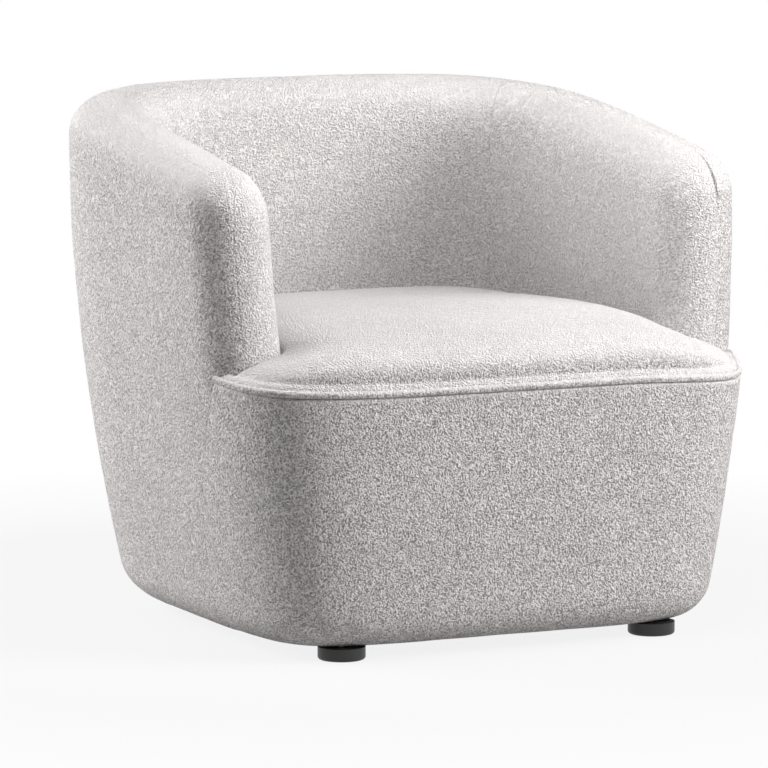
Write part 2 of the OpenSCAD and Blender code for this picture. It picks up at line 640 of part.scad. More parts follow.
// Thin layers either side of the frame
module wall_board() {
    color("#8a6a45") wall_layer(all_stations, face_rows(board_d, board_hs),
        face_rows(board_d + wall_board_t, board_hs), frame_end_y, flip = true);
}
module wall_liner() {
    color("#b9a27c") wall_layer(all_stations, face_rows(liner_d, liner_hs),
        face_rows(liner_d + liner_t, liner_hs), frame_end_y, flip = true);
}
module top_rail() {
    hs = [top_rail_h, top_rail_top_h];
    color("#d9b98a") wall_layer(all_stations, face_rows(frame_d, hs),
        face_rows(frame_d + upright_w, hs), frame_end_y, flip = true);
}

// Curved upright in the wall, cut from board, with a notch that takes the rail
upright_gap = 0.4;
function upright_outline(outer, inner, fall_y, rail, foot) = let(
    at = function(line, d, h)
        let(z = h - rim_fall(fall_y(line(d, h))) * fall_share(h)) [line(d, z), z],
    outer_d = frame_d + upright_gap,
    inner_d = frame_d + upright_w - upright_gap,
    top = top_rail_h - upright_gap)
    concat([for (h = upright_hs) at(outer, outer_d, h)],
        [at(outer, outer_d, top), at(inner, inner_d, top)],
        [for (h = backwards(upright_hs)) if (h >= rail_top_h) at(inner, inner_d, h)],
        [[rail, rail_top_h], [rail, rail_bottom_h], [foot, ring_top_h]]);
module side_upright(y) {
    far = y < 0 ? y - upright_t / 2 : y + upright_t / 2;
    near = 2 * y - far;
    outer = function(d, z) wall_chord_x(far, d, z);
    inner = function(d, z) wall_chord_x(near, d, z);
    outline = upright_outline(outer, inner, function(v) y - upright_t / 2, side_rail_x,
        half_w(ring_top_h) - upright_foot_w);
    difference() {
        translate([0, y + upright_t / 2, 0]) rotate([90, 0, 0])
            linear_extrude(height = upright_t) polygon(outline);
        for (z = screw_hs) translate([side_rail_x - overrun, y, z]) rotate([0, 90, 0])
            cylinder(r = screw_bore_r, h = screw_l - rail_t + 2 * overrun, $fn = 24);
    }
}
module side_uprights_half() {
    color("#d9b98a") for (share = side_upright_shares) side_upright(share * chair_d / 2);
}
module side_uprights_left() { left_of() side_uprights_half(); }
module side_uprights_right() { side_uprights_half(); }
module rear_uprights() {
    color("#d9b98a") for (share = rear_upright_shares) {
        x = share * rear_upright_x;
        far = abs(x) + upright_t / 2;
        near = max(0, abs(x) - upright_t / 2);
        outer = function(d, z) rear_chord_y(far, d, z);
        inner = function(d, z) rear_chord_y(near, d, z);
        outline = upright_outline(outer, inner, function(v) v, rear_rail_y,
            rear_y(far, ring_top_h) - upright_foot_w);
        difference() {
            translate([x - upright_t / 2, 0, 0]) rotate([90, 0, 90])
                linear_extrude(height = upright_t) polygon(outline);
            for (z = screw_hs) translate([x, rear_rail_y - overrun, z]) rotate([-90, 0, 0])
                cylinder(r = screw_bore_r, h = screw_l - rail_t + 2 * overrun, $fn = 24);
        }
    }
}
module front_post_half() {
    difference() {
        translate([side_rail_x, -post_y - post_d / 2, ring_top_h])
            cube([post_w, post_d, arm_front_base_h - fall_at_post - ring_top_h]);
        for (z = screw_hs) translate([side_rail_x - overrun, -post_y, z]) rotate([0, 90, 0])
            cylinder(r = screw_bore_r, h = screw_l - rail_t + 2 * overrun, $fn = 24);
    }
}
module front_posts() {
    color("#d9b98a") {
        front_post_half();
        left_of() front_post_half();
    }
}

module base_ring() {
    color("#d9b98a") difference() {
        union() {
            standing(ring_rebate_h) linear_extrude(height = ring_top_h - ring_rebate_h)
                polygon(station_plan(ring_rebate_d, ring_rebate_h));
            standing(ring_h) linear_extrude(height = ring_t)
                polygon(station_plan(base_edge_r + fit_gap, ring_h));
        }
        standing(ring_h - overrun) linear_extrude(height = ring_t + 2 * overrun)
            polygon(station_plan(base_edge_r + fit_gap + ring_w, ring_h));
        for (p = foot_places) translate([p[0], p[1], ring_h - overrun])
            cylinder(r = nut_r + fit_gap, h = ring_t + 2 * overrun, $fn = 32);
    }
}

// Seat frame
module rail_screw_holes() {
    for (y = side_screw_ys) for (z = screw_hs)
        translate([side_rail_x - rail_t - overrun, y, z]) rotate([0, 90, 0])
            cylinder(r = screw_bore_r, h = rail_t + 2 * overrun, $fn = 24);
}
module side_rail_half() {
    color("#d9b98a") difference() {
        translate([side_rail_x - rail_t, -side_rail_front_y, rail_bottom_h])
            cube([rail_t, side_rail_front_y + side_rail_back_y, side_rail_h]);
        rail_screw_holes();
    }
}
module side_seat_rail_left() { left_of() side_rail_half(); }
module side_seat_rail_right() { side_rail_half(); }
module rear_seat_rail() {
    color("#d9b98a") difference() {
        translate([-rear_rail_x, rear_rail_y - rail_t, rail_bottom_h])
            cube([2 * rear_rail_x, rail_t, side_rail_h]);
        for (share = rear_upright_shares) for (z = screw_hs)
            translate([share * rear_upright_x, rear_rail_y - rail_t - overrun, z])
                rotate([-90, 0, 0]) cylinder(r = screw_bore_r, h = rail_t + 2 * overrun, $fn = 24);
    }
}
module front_seat_rail() {
    color("#d9b98a") translate([-front_rail_x, front_rail_y, front_rail_base_h])
        cube([2 * front_rail_x, rail_t, front_rail_h]);
}
module corner_half() {
    rear = [[side_rail_x, side_rail_back_y], [rear_rail_x, rear_rail_y],
        [rear_rail_x, rear_rail_y - rail_t], [side_rail_x - rail_t, side_rail_back_y]];
    low = front_rail_base_h;
    front_limit = post_y + post_d / 2;
    front = [[front_rail_x, -chair_d / 2], [chair_w / 2, -chair_d / 2],
        [chair_w / 2, -front_limit], [side_rail_x, -front_limit],
        [side_rail_x, -side_rail_front_y], [side_rail_x - rail_t, -side_rail_front_y],
        [front_rail_x, front_rail_y + rail_t]];
    standing(rail_bottom_h) linear_extrude(height = side_rail_h) polygon(rear);
    standing(low) linear_extrude(height = front_rail_h) intersection() {
        polygon(front);
        polygon(station_plan(frame_d + fit_gap, low));
    }
}
module corner_blocks() {
    color("#c8a878") {
        corner_half();
        left_of() corner_half();
    }
}

// Sinuous springs, from the front rail to the rear rail
function spring_xs() = [for (i = [0 : spring_count - 1]) (i - (spring_count - 1) / 2) * spring_pitch];
function loop_pt(i) = let(n = spring_loops * spring_steps, t = i / n,
    phase = 180 * i / spring_steps,
    side = sin(phase) == 0 ? 0 : sign(sin(phase)) * pow(abs(sin(phase)), 0.6))
    [spring_w / 2 * side, blend(spring_front_y, spring_rear_y, t)
        + sin(2 * phase) * (spring_rear_y - spring_front_y) / spring_loops / 8,
        spring_h + spring_rise * sin(180 * t)];
module spring() {
    n = spring_loops * spring_steps;
    rings = [for (i = [0 : n]) let(
        a = loop_pt(max(0, i - 1)), b = loop_pt(min(n, i + 1)), along = (b - a) / norm(b - a),
        out = cross(along, [0, 0, 1]) / norm(cross(along, [0, 0, 1])))
        [for (k = [0 : spring_sides - 1]) let(w = -360 * k / spring_sides)
            loop_pt(i) + wire_r * (cos(w) * out + sin(w) * cross(out, along))]];
    through_rings(rings);
}
module seat_springs() {
    color("#9a9a98") for (x = spring_xs()) translate([x, 0, 0]) spring();
}
module clip(y, side) {
    slot_h = 2 * wire_r + 2 * fit_gap;
    translate([-clip_w / 2, y - clip_d / 2, rail_top_h]) difference() {
        cube([clip_w, clip_d, slot_h + 2 * clip_t]);
        translate([-overrun, side > 0 ? clip_t : -overrun, clip_t])
            cube([clip_w + 2 * overrun, clip_d - clip_t + overrun, slot_h]);
    }
}
module spring_clips() {
    color("#8d8f92") for (x = spring_xs()) translate([x, 0, 0]) {
        clip(spring_front_y, 1);
        clip(spring_rear_y, -1);
    }
}

module screw() {
    cylinder(r = screw_r, h = screw_l, $fn = 24);
    translate([0, 0, -screw_head_t]) cylinder(r = screw_head_r, h = screw_head_t, $fn = 32);
}
module side_screws() {
    for (y = side_screw_ys) for (z = screw_hs)
        translate([side_rail_x - rail_t, y, z]) rotate([0, 90, 0]) screw();
}
module frame_screws() {
    color("#b8b8b0") {
        side_screws();
        left_of() side_screws();
        for (share = rear_upright_shares) for (z = screw_hs)
            translate([share * rear_upright_x, rear_rail_y - rail_t, z]) rotate([-90, 0, 0]) screw();
    }
}

// Underside
module stud_holes() {
    for (p = foot_places) translate([p[0], p[1], body_base_h - overrun])
        cylinder(r = stud_r + 2 * fit_gap, h = ring_t, $fn = 32);
}
module dust_cover() {
    color("#3a3937") difference() {
        standing(ring_h - dust_cover_t - fit_gap) linear_extrude(height = dust_cover_t)
            polygon(station_plan(base_edge_r + turn_in + 2 * fit_gap, body_base_h));
        stud_holes();
    }
}
module foot(place) {
    flat_r = foot_r - foot_edge_r;
    color("#1b1b1d") translate([place[0], place[1], 0]) difference() {
        rotate_extrude($fn = 96) union() {
            square([flat_r, foot_h]);
            translate([0, foot_edge_r]) square([foot_r, foot_h - foot_edge_r]);
            translate([flat_r, foot_edge_r]) intersection() {
                circle(r = foot_edge_r, $fn = 48);
                translate([0, -foot_edge_r]) square([foot_edge_r, foot_edge_r]);
            }
        }
        standing(stud_start_h - fit_gap) cylinder(r = stud_r + fit_gap, h = foot_h, $fn = 32);
    }
}
module foot_front_left() { foot(foot_places[0]); }
module foot_front_right() { foot(foot_places[1]); }
module foot_rear_left() { foot(foot_places[2]); }
module foot_rear_right() { foot(foot_places[3]); }
module foot_studs() {
    color("#a8a8a0") for (p = foot_places) translate([p[0], p[1], stud_start_h])
        cylinder(r = stud_r, h = ring_top_h - stud_start_h, $fn = 32);
}
module tee_nuts() {
    color("#a8a8a0") for (p = foot_places) translate([p[0], p[1], ring_top_h - nut_l]) difference() {
        union() {
            cylinder(r = nut_r, h = nut_l, $fn = 32);
            standing(nut_l) cylinder(r = nut_flange_r, h = nut_flange_t, $fn = 48);
        }
        standing(-overrun) cylinder(r = stud_r + fit_gap, h = nut_l + nut_flange_t + 2 * overrun,
            $fn = 32);
    }
}

outer_cover_left();
outer_cover_right();
inside_back_cover();
inside_arm_cover_left();
inside_arm_cover_right();
front_cover();
seat_cover();
seat_welt();
back_padding();
arm_padding_left();
arm_padding_right();
arm_front_padding_left();
arm_front_padding_right();
front_padding();
seat_foam();
felt_pad();
wall_board();
wall_liner();
front_board();
top_rail();
rear_uprights();
side_uprights_left();
side_uprights_right();
front_posts();
arm_facing_left();
arm_facing_right();
base_ring();
front_seat_rail();
rear_seat_rail();
side_seat_rail_left();
side_seat_rail_right();
corner_blocks();
seat_springs();
spring_clips();
frame_screws();
dust_cover();
foot_front_left();
foot_front_right();
foot_rear_left();
foot_rear_right();
foot_studs();
tee_nuts();
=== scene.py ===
"""Dressed model of an upholstered tub chair, with its stage and camera, laid out as an add-on."""
import math
from functools import partial

import bmesh
import bpy
import numpy as np
from bpy.props import FloatProperty, FloatVectorProperty, PointerProperty
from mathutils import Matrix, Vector, kdtree, noise


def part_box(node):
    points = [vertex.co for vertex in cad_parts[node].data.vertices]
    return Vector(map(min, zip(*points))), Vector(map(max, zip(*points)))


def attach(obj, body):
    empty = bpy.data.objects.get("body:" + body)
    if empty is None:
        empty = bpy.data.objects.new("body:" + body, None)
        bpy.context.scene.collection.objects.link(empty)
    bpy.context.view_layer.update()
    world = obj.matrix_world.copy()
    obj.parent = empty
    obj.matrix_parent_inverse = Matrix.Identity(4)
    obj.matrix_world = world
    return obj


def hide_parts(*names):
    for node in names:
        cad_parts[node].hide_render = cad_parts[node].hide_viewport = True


bl_info = {
    "name": "Tub Chair",
    "version": (1, 0, 0),
    "blender": (4, 5, 0),
    "location": "3D View > Sidebar > Tub Chair",
    "description": "Builds an upholstered tub chair over its packed frame",
    "category": "Object",
}

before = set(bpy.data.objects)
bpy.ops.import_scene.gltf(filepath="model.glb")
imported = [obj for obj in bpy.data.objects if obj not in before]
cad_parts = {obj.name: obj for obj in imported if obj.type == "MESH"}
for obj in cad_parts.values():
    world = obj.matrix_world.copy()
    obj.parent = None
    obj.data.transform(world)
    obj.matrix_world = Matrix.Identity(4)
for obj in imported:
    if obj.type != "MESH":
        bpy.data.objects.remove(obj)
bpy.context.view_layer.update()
MM = 0.001

# Sizes of the frame that the upholstery covers, in millimetres, as the part's source has them
CHAIR_W, CHAIR_D, CHAIR_H = 794.0, 804.0, 700.0
BASE_H, BASE_EDGE_R = 17.0, 44.0
WALL_BASE_H = BASE_H + BASE_EDGE_R
BELLY_H, SIDE_TAPER, BACK_TAPER, FRONT_TAPER = 636.0, 62.0, 110.0, 28.0
BACK_SQUARE, FRONT_SQUARE = 3.06, 5.4
WALL_T, RIM_R = 111.5, 50.0
RIM_CENTRE_H = CHAIR_H - RIM_R
RIM_DROP, RIM_POWER, RIM_SHARE_H = 81.0, 1.47, 278.0
RIM_SEAM_DEG = 69.0
SEAT_SEAM_H, SEAM_RISE = 344.0, 12.5
ARM_RIM_Y, ARM_SEAT_Y = 205.0, 232.0
NOSE_R, NOSE_SEAM_DEG, NOSE_BASE_H = WALL_T / 2, 76.0, 361.0
INSIDE_SEAM_U, INSIDE_RISE = 0.6, 68.0
RAIL_TOP_H, FOAM_BASE_H = 292.0, 308.7
# The side seam's distance from mid depth at its foot, and how far and how fast it runs forward
SIDE_SEAM_Y, SIDE_SEAM_RUN, SIDE_SEAM_POWER = 185, 78, 2.2
SIDE_SEAM_FOOT_H, SIDE_SEAM_RISE = 64, 288
SIDE_SEAM_TOP_H = SIDE_SEAM_FOOT_H + SIDE_SEAM_RISE
# Height just under the side seam's top, where the front's outline is taken
JUST_BELOW_TOP_H = 351.9
# Depths behind mid depth between which the seat's front seam rises to its corners
SEAM_FRONT_Y, SEAM_CORNER_Y = -388, -266
# How far the front panel stays behind the foremost point, which is the seat's welt
FRONT_BACKSET = 0.4
# Thickness in millimetres at which panels are closed behind their face
OUTER_DEPTH, INNER_DEPTH = 12, 30


# ---------------------------------------------------------------- plan and profile of the chair

def taper(z):
    """Share of the taper at height z, from 0 at the widest level to 1 at the base."""
    return np.where(z < BELLY_H, (np.maximum(0, BELLY_H - z) / (BELLY_H - BASE_H)) ** 2, 0.0)


def half_w(z):
    """Half width of the outline at height z."""
    return CHAIR_W / 2 - SIDE_TAPER * taper(z)


def rear_d(z):
    """Distance of the outline's back from mid depth at height z."""
    return CHAIR_D / 2 - BACK_TAPER * taper(z)


def front_d(z):
    """Distance of the outline's front from mid depth at height z."""
    belly = CHAIR_D / 2 - FRONT_BACKSET + FRONT_TAPER * taper(SEAT_SEAM_H)
    return belly - FRONT_TAPER * taper(z)


def signed_pow(v, n):
    """Cosine or sine of a rounded square's angle, for squareness n."""
    return np.sign(v) * np.abs(v) ** (2 / n)


def curve_share(v, n):
    """Half width of a rounded square at a share v of its depth, for squareness n."""
    return np.maximum(0, 1 - np.minimum(1, np.abs(v)) ** n) ** (1 / n)


def side_x(y, z):
    """Half width of the outline at a distance y behind mid depth."""
    return half_w(z) * np.where(y < 0, curve_share(-y / front_d(z), FRONT_SQUARE),
                                curve_share(y / rear_d(z), BACK_SQUARE))


def rear_pt(deg, d, z):
    """Point of the outline's rear half, a depth d in from it at height z."""
    a = np.radians(deg)
    return ((half_w(z) - d) * signed_pow(np.cos(a), BACK_SQUARE),
            (rear_d(z) - d) * signed_pow(np.sin(a), BACK_SQUARE))


def front_pt(deg, d, z):
    """Point of the outline's front half, a depth d in from it at height z."""
    a = np.radians(deg)
    return ((half_w(z) - d) * signed_pow(np.cos(a), FRONT_SQUARE),
            -(front_d(z) - d) * signed_pow(np.sin(a), FRONT_SQUARE))


def front_deg(y, d, z):
    """Angle on the front outline at a distance y in front of mid depth."""
    return np.degrees(np.arcsin(np.minimum(1, y / (front_d(z) - d)) ** (FRONT_SQUARE / 2)))


def nose_y(z):
    """Distance in front of mid depth at which the arm front starts to round."""
    share = np.clip((z - SEAT_SEAM_H) / (CHAIR_H - SEAT_SEAM_H), 0, 1)
    return ARM_SEAT_Y + (ARM_RIM_Y - ARM_SEAT_Y) * share


def nose_centre(z):
    """Middle of the arm front's round in plan."""
    y = nose_y(z)
    return side_x(-y, z) - NOSE_R, -y


def smooth_step(a, b, v):
    """Goes softly from 0 to 1 as v goes from a to b."""
    t = np.clip((v - a) / (b - a), 0, 1)
    return t * t * (3 - 2 * t)


# The outer panel wraps a little round the arm front before its side seam starts
WRAP = 31.0
WRAP_DEG = math.degrees(WRAP / NOSE_R)
# Extra wrap just above the side seam's top, and the height by which it has gone
WRAP_STEP, WRAP_EASE_H = 0.6, 372
# Heights between which the side leaves the front's outline and takes the arm front's round
ONTO_ARM_H, ON_ARM_H = 330, 353


def side_reach(z):
    """Length of the outer side, from mid depth to where the arm front's own panel part starts."""
    risen = np.clip(z - SIDE_SEAM_FOOT_H, 0, SIDE_SEAM_RISE) / SIDE_SEAM_RISE
    low = SIDE_SEAM_Y + SIDE_SEAM_RUN * risen ** SIDE_SEAM_POWER
    high = nose_y(z) + WRAP + WRAP_STEP * (1 - smooth_step(SIDE_SEAM_TOP_H, WRAP_EASE_H, z))
    return np.where(z < SIDE_SEAM_TOP_H, low, high)


def outer_plan(u, d, z):
    """Outer side in plan: u is 0 to 1 round the back, to 2 along the side, to 3 on the front."""
    bx, by = rear_pt(90 * (1 - np.minimum(u, 1)), d, z)
    s = side_reach(z) * np.clip(u - 1, 0, 1)
    cx, cy = nose_centre(z)
    on_front = np.radians(WRAP_DEG + (NOSE_SEAM_DEG - WRAP_DEG) * np.clip(u - 2, 0, 1))
    turn = np.where(u > 2, on_front, np.maximum(0, s - nose_y(z)) / NOSE_R)
    nx = np.where(s < nose_y(z), side_x(-s, z) - d, cx + (NOSE_R - d) * np.cos(turn))
    ny = np.where(s < nose_y(z), -s, cy - (NOSE_R - d) * np.sin(turn))
    onto = np.where(u > 2, 1.0, smooth_step(ONTO_ARM_H, ON_ARM_H, z))
    sx = (side_x(-s, z) - d) * (1 - onto) + nx * onto
    sy = -s * (1 - onto) + ny * onto
    return np.where(u <= 1, bx, sx), np.where(u <= 1, by, sy)


def inner_plan(u, d, z):
    """Inner side and rim in plan, with u as for the outer side and the front split at its seam."""
    bx, by = rear_pt(90 * (1 - np.minimum(u, 1)), d, z)
    y = -nose_y(z) * np.clip(u - 1, 0, 1)
    cx, cy = nose_centre(z)
    q = NOSE_R - d
    share = np.clip(u - 2, 0, 1)
    turn = np.radians(np.where(q >= 0, -share * NOSE_SEAM_DEG, share * (180 - NOSE_SEAM_DEG)))
    sx = np.where(u <= 2, side_x(y, z) - d, cx + q * np.cos(turn))
    sy = np.where(u <= 2, y, cy + q * np.sin(turn))
    return np.where(u <= 1, bx, sx), np.where(u <= 1, by, sy)


def rim_fall(y):
    """How far the rim has fallen at a distance y behind mid depth."""
    return RIM_DROP * (np.maximum(0, CHAIR_D / 2 - y)
                       / (CHAIR_D / 2 + ARM_RIM_Y + NOSE_R)) ** RIM_POWER


def fall_share(h):
    """Share of the rim's fall that a point at profile height h takes."""
    return np.clip((h - SEAT_SEAM_H) / RIM_SHARE_H, 0, 1)


def on_wall(plan, u, d, h):
    """Points of the wall at stations u and profile places d, h; negative u is the left side."""
    u, d, h = np.broadcast_arrays(np.asarray(u, float), np.asarray(d, float), np.asarray(h, float))
    guess = plan(np.abs(u), d, h)
    z = h - rim_fall(guess[1]) * fall_share(h)
    x, y = plan(np.abs(u), d, z)
    return np.stack([np.where(u < 0, -x, x), y, z], axis=-1)


def seam_z(y):
    """Height of the seam under the seat's front edge."""
    share = (y - SEAM_FRONT_Y) / (SEAM_CORNER_Y - SEAM_FRONT_Y)
    return SEAT_SEAM_H + SEAM_RISE * np.clip(share, 0, 1) ** 2


def run_length(*axes):
    """Length along a polyline, at each of its points."""
    return np.concatenate([[0], np.cumsum(np.sqrt(sum(np.diff(a) ** 2 for a in axes)))])


class Profile:
    """A path through the wall's section, by length, with the way that points inwards from it."""

    def __init__(self, pieces):
        points = [np.asarray(piece(np.linspace(0, 1, 41))) for piece in pieces]
        self.path = np.concatenate([p.T if i == 0 else p.T[1:] for i, p in enumerate(points)])
        self.s = run_length(*self.path.T)
        self.length = self.s[-1]

    def at(self, s):
        """Depth and height at lengths s along the path."""
        d = np.interp(s, self.s, self.path[:, 0])
        return d, np.interp(s, self.s, self.path[:, 1])

    def inward(self, s, side):
        """Unit vector in depth and height, to the right of the path where side is 1."""
        a, b = (self.at(np.clip(s + way, 0, self.length)) for way in (-0.5, 0.5))
        t = np.stack([b[0] - a[0], b[1] - a[1]])
        t = t / np.linalg.norm(t, axis=0)
        return side * t[1], -side * t[0]

    def s_at_height(self, h):
        """Length along the path where its straight face passes height h."""
        rising = np.argmax(self.path[:, 1] >= h)
        a, b = self.path[rising - 1], self.path[rising]
        f = (h - a[1]) / max(1e-9, b[1] - a[1])
        return self.s[rising - 1] + f * (self.s[rising] - self.s[rising - 1])


def line(a, b):
    """Straight piece of a profile, in depth and height."""
    return lambda t: (a[0] + (b[0] - a[0]) * t, a[1] + (b[1] - a[1]) * t)


def arc(c, r, from_deg, to_deg, rise=None):
    """Arc in depth and height; 0 degrees points to the outer face and 90 up."""
    def run(t):
        a = np.radians(from_deg + (to_deg - from_deg) * t)
        return c[0] - r * np.cos(a), c[1] + (rise or r) * np.sin(a)
    return run


FOOT = [line((BASE_EDGE_R + 10, BASE_H), (BASE_EDGE_R, BASE_H)),
        arc((BASE_EDGE_R, WALL_BASE_H), BASE_EDGE_R, -90, 0)]
OUTER = Profile([
    *FOOT, line((0, WALL_BASE_H), (0, RIM_CENTRE_H)),
    arc((RIM_R, RIM_CENTRE_H), RIM_R, 0, RIM_SEAM_DEG)])
INNER = Profile([
    line((WALL_T, RAIL_TOP_H), (WALL_T, CHAIR_H - INSIDE_RISE)),
    arc((WALL_T - RIM_R, CHAIR_H - INSIDE_RISE), RIM_R, 180, 90, rise=INSIDE_RISE),
    line((WALL_T - RIM_R, CHAIR_H), (RIM_R, CHAIR_H)),
    arc((RIM_R, RIM_CENTRE_H), RIM_R, 90, RIM_SEAM_DEG)])
FRONT = Profile([*FOOT, line((0, WALL_BASE_H), (0, SEAT_SEAM_H))])
NOSE_BASE_S = OUTER.s_at_height(NOSE_BASE_H)

# Steps in from a seam, so that the cover's edge can turn in smoothly
SEAM_STEPS = [0, 0.5, 1.2, 2.2, 3.5, 5.2, 7.5, 10.5, 15]
# Height at which the wall's stations are spaced evenly
SPACING_H = 500.0


def spaced(a, b, step, at_a=True, at_b=True):
    """Places from a to b, closer together next to an end that is a seam."""
    lead = [s for s in SEAM_STEPS if s < (b - a) / 2]
    left = [a + s for s in lead] if at_a else [a]
    right = [b - s for s in reversed(lead)] if at_b else [b]
    n = max(1, round((right[0] - left[-1]) / step))
    middle = np.linspace(left[-1], right[0], n + 1)[1:-1]
    return np.array(left + list(middle) + right)


def stations(plan, d, u_from, u_to, step, seams):
    """Stations between two places of the wall, evenly spaced by length at a depth d."""
    dense = np.linspace(u_from, u_to, 1601)
    x, y = plan(dense, np.full_like(dense, d), np.full_like(dense, SPACING_H))
    s = run_length(x, y)
    ends = [u_from] + [u for u in seams if u_from < u < u_to] + [u_to]
    marks = np.interp(ends, dense, s)
    parts = [spaced(a, b, step, ua in seams, ub in seams)
             for a, b, ua, ub in zip(marks, marks[1:], ends, ends[1:])]
    lengths = np.concatenate([parts[0]] + [p[1:] for p in parts[1:]])
    return np.interp(lengths, s, dense)


# ---------------------------------------------------------------- seams

def dense_line(points, step=1.0):
    """The same polyline with a point every step millimetres."""
    points = np.asarray(points, float)
    s = run_length(*points.T)
    at = np.linspace(0, s[-1], max(2, int(s[-1] / step) + 1))
    return np.stack([np.interp(at, s, points[:, i]) for i in range(3)], axis=-1)


def flip_x(points):
    """The same points on the other side of the chair."""
    return points * np.array([-1.0, 1.0, 1.0])


def wall_seam(plan, u, s, side, profile=OUTER):
    """Seam on one side's wall, through stations u and lengths s of its profile."""
    return dense_line(on_wall(plan, u, *profile.at(s)) * [side, 1, 1])


def rim_seam(side):
    """Seam along the rim, from the back's middle to the end of the arm front."""
    return wall_seam(outer_plan, np.linspace(0, 3, 400), OUTER.length, side)


def nose_seam(side):
    """Seam down the arm front between its outer and inner panels."""
    return wall_seam(outer_plan, 3.0, np.linspace(NOSE_BASE_S, OUTER.length, 80), side)


def side_seam(side):
    """Seam between the outer panel and the front panel."""
    return wall_seam(outer_plan, 2.0, np.linspace(0, NOSE_BASE_S, 90), side)


def nose_base(side):
    """Line where the outer panel ends above the seat's corner."""
    return wall_seam(outer_plan, np.linspace(2, 3, 30), NOSE_BASE_S, side)


def back_seam():
    """Seam up the middle of the outer back."""
    return wall_seam(outer_plan, 0.0, np.linspace(0, OUTER.length, 120), 1)


def inside_seam(side):
    """Seam between the inside back and an inside arm."""
    return wall_seam(inner_plan, INSIDE_SEAM_U, np.linspace(0, INNER.length, 120), side, INNER)


def front_path(d, above=0.0):
    """Line along the seat's front seam at a depth d, from one side seam to the other."""
    y_end = float(side_reach(np.array(JUST_BELOW_TOP_H)))
    start = float(front_deg(y_end, d, SEAT_SEAM_H + SEAM_RISE))
    spread = 1 - np.cos(np.linspace(0, np.pi, 240))
    deg = 180 - (start + (180 - 2 * start) * spread / 2)
    z = seam_z(front_pt(deg, d, SEAT_SEAM_H)[1])
    x, y = front_pt(deg, d, z)
    return np.stack([x, y, z + above], axis=-1)


class SeamLines:
    """Points along seams, for how far a surface point is from the nearest one."""

    def __init__(self, points):
        self.tree = kdtree.KDTree(len(points))
        for i, p in enumerate(points):
            self.tree.insert(p, i)
        self.tree.balance()

    def distance(self, points):
        """How far each point is from the nearest point of the lines."""
        flat = points.reshape(-1, 3)
        return np.array([self.tree.find(p)[2] for p in flat]).reshape(points.shape[:-1])


def turn_in(distance, r):
    """How far a panel's edge turns in at a distance from its seam, as a quarter round."""
    s = np.clip(distance, 0, r)
    return r - np.sqrt(np.maximum(0, r * r - (r - s) ** 2))


# ---------------------------------------------------------------- meshes

def grid_normals(grid):
    """Unit normal at each point of a grid, shared where points lie together."""
    cells = np.cross(grid[1:, 1:] - grid[:-1, :-1], grid[:-1, 1:] - grid[1:, :-1])
    total = np.zeros_like(grid)
    for di in (0, 1):
        for dk in (0, 1):
            total[di:di + cells.shape[0], dk:dk + cells.shape[1]] += cells
    keys = np.round(grid.reshape(-1, 3), 2)
    _, where = np.unique(keys, axis=0, return_inverse=True)
    where = where.reshape(-1)
    summed = np.zeros((where.max() + 1, 3))
    np.add.at(summed, where, total.reshape(-1, 3))
    out = summed[where]
    out /= np.maximum(1e-9, np.linalg.norm(out, axis=1, keepdims=True))
    return out.reshape(grid.shape)


def waves(points, size, seed):
    """Smooth noise from -1 to 1 with features of a size in millimetres."""
    flat = points.reshape(-1, 3) / size
    shift = Vector((seed * 7.31, seed * -3.17, seed * 5.73))
    return np.array([noise.noise(Vector(p) + shift) for p in flat]).reshape(points.shape[:-1])


# How far the seat's right and left front corners have settled or risen, and the ranges of half
# width, depth and height over which that starts and, where there are two pairs, ends
SETTLED_RIGHT, SETTLED_LEFT = -9.5, 3.5
SETTLED_X, SETTLED_Y, SETTLED_Z = (150, 380), (-335, -215), ((235, 340), (375, 480))


def settled(points):
    """Lets the padding sit lower at the seat's right front corner than at its left one."""
    x, y, z = np.moveaxis(np.asarray(points, float), -1, 0)
    share = smooth_step(*SETTLED_X, np.abs(x)) * (1 - smooth_step(*SETTLED_Y, y))
    share = share * smooth_step(*SETTLED_Z[0], z) * (1 - smooth_step(*SETTLED_Z[1], z))
    return np.stack([x, y, z + np.where(x > 0, SETTLED_RIGHT, SETTLED_LEFT) * share], axis=-1)


def slab(top, under, keep=None):
    """Points and faces of a closed solid between two grids, with some cells left out."""
    nu, nv = top.shape[:2]
    keep = np.ones((nu - 1, nv - 1), bool) if keep is None else keep
    n = nu * nv
    index = np.arange(n).reshape(nu, nv)
    p, q = index[:-1, :-1], index[1:, :-1]
    r, s = index[1:, 1:], index[:-1, 1:]
    face = np.stack([p, q, r, s], axis=-1)[keep]
    faces = [face, face[:, ::-1] + n]
    padded = np.zeros((nu + 1, nv + 1), bool)
    padded[1:-1, 1:-1] = keep
    sides = [(padded[:-2, 1:-1], s, p), (padded[2:, 1:-1], q, r),
             (padded[1:-1, :-2], p, q), (padded[1:-1, 2:], r, s)]
    for beyond, a, b in sides:
        edge = keep & ~beyond
        faces.append(np.stack([b[edge], a[edge], a[edge] + n, b[edge] + n], axis=-1))
    points = np.concatenate([top.reshape(-1, 3), under.reshape(-1, 3)])
    return settled(points), np.concatenate(faces)


# Distances in metres under which a mesh's points are joined and its edges dropped
JOIN_DIST, DROP_DIST = 4e-5, 1e-6


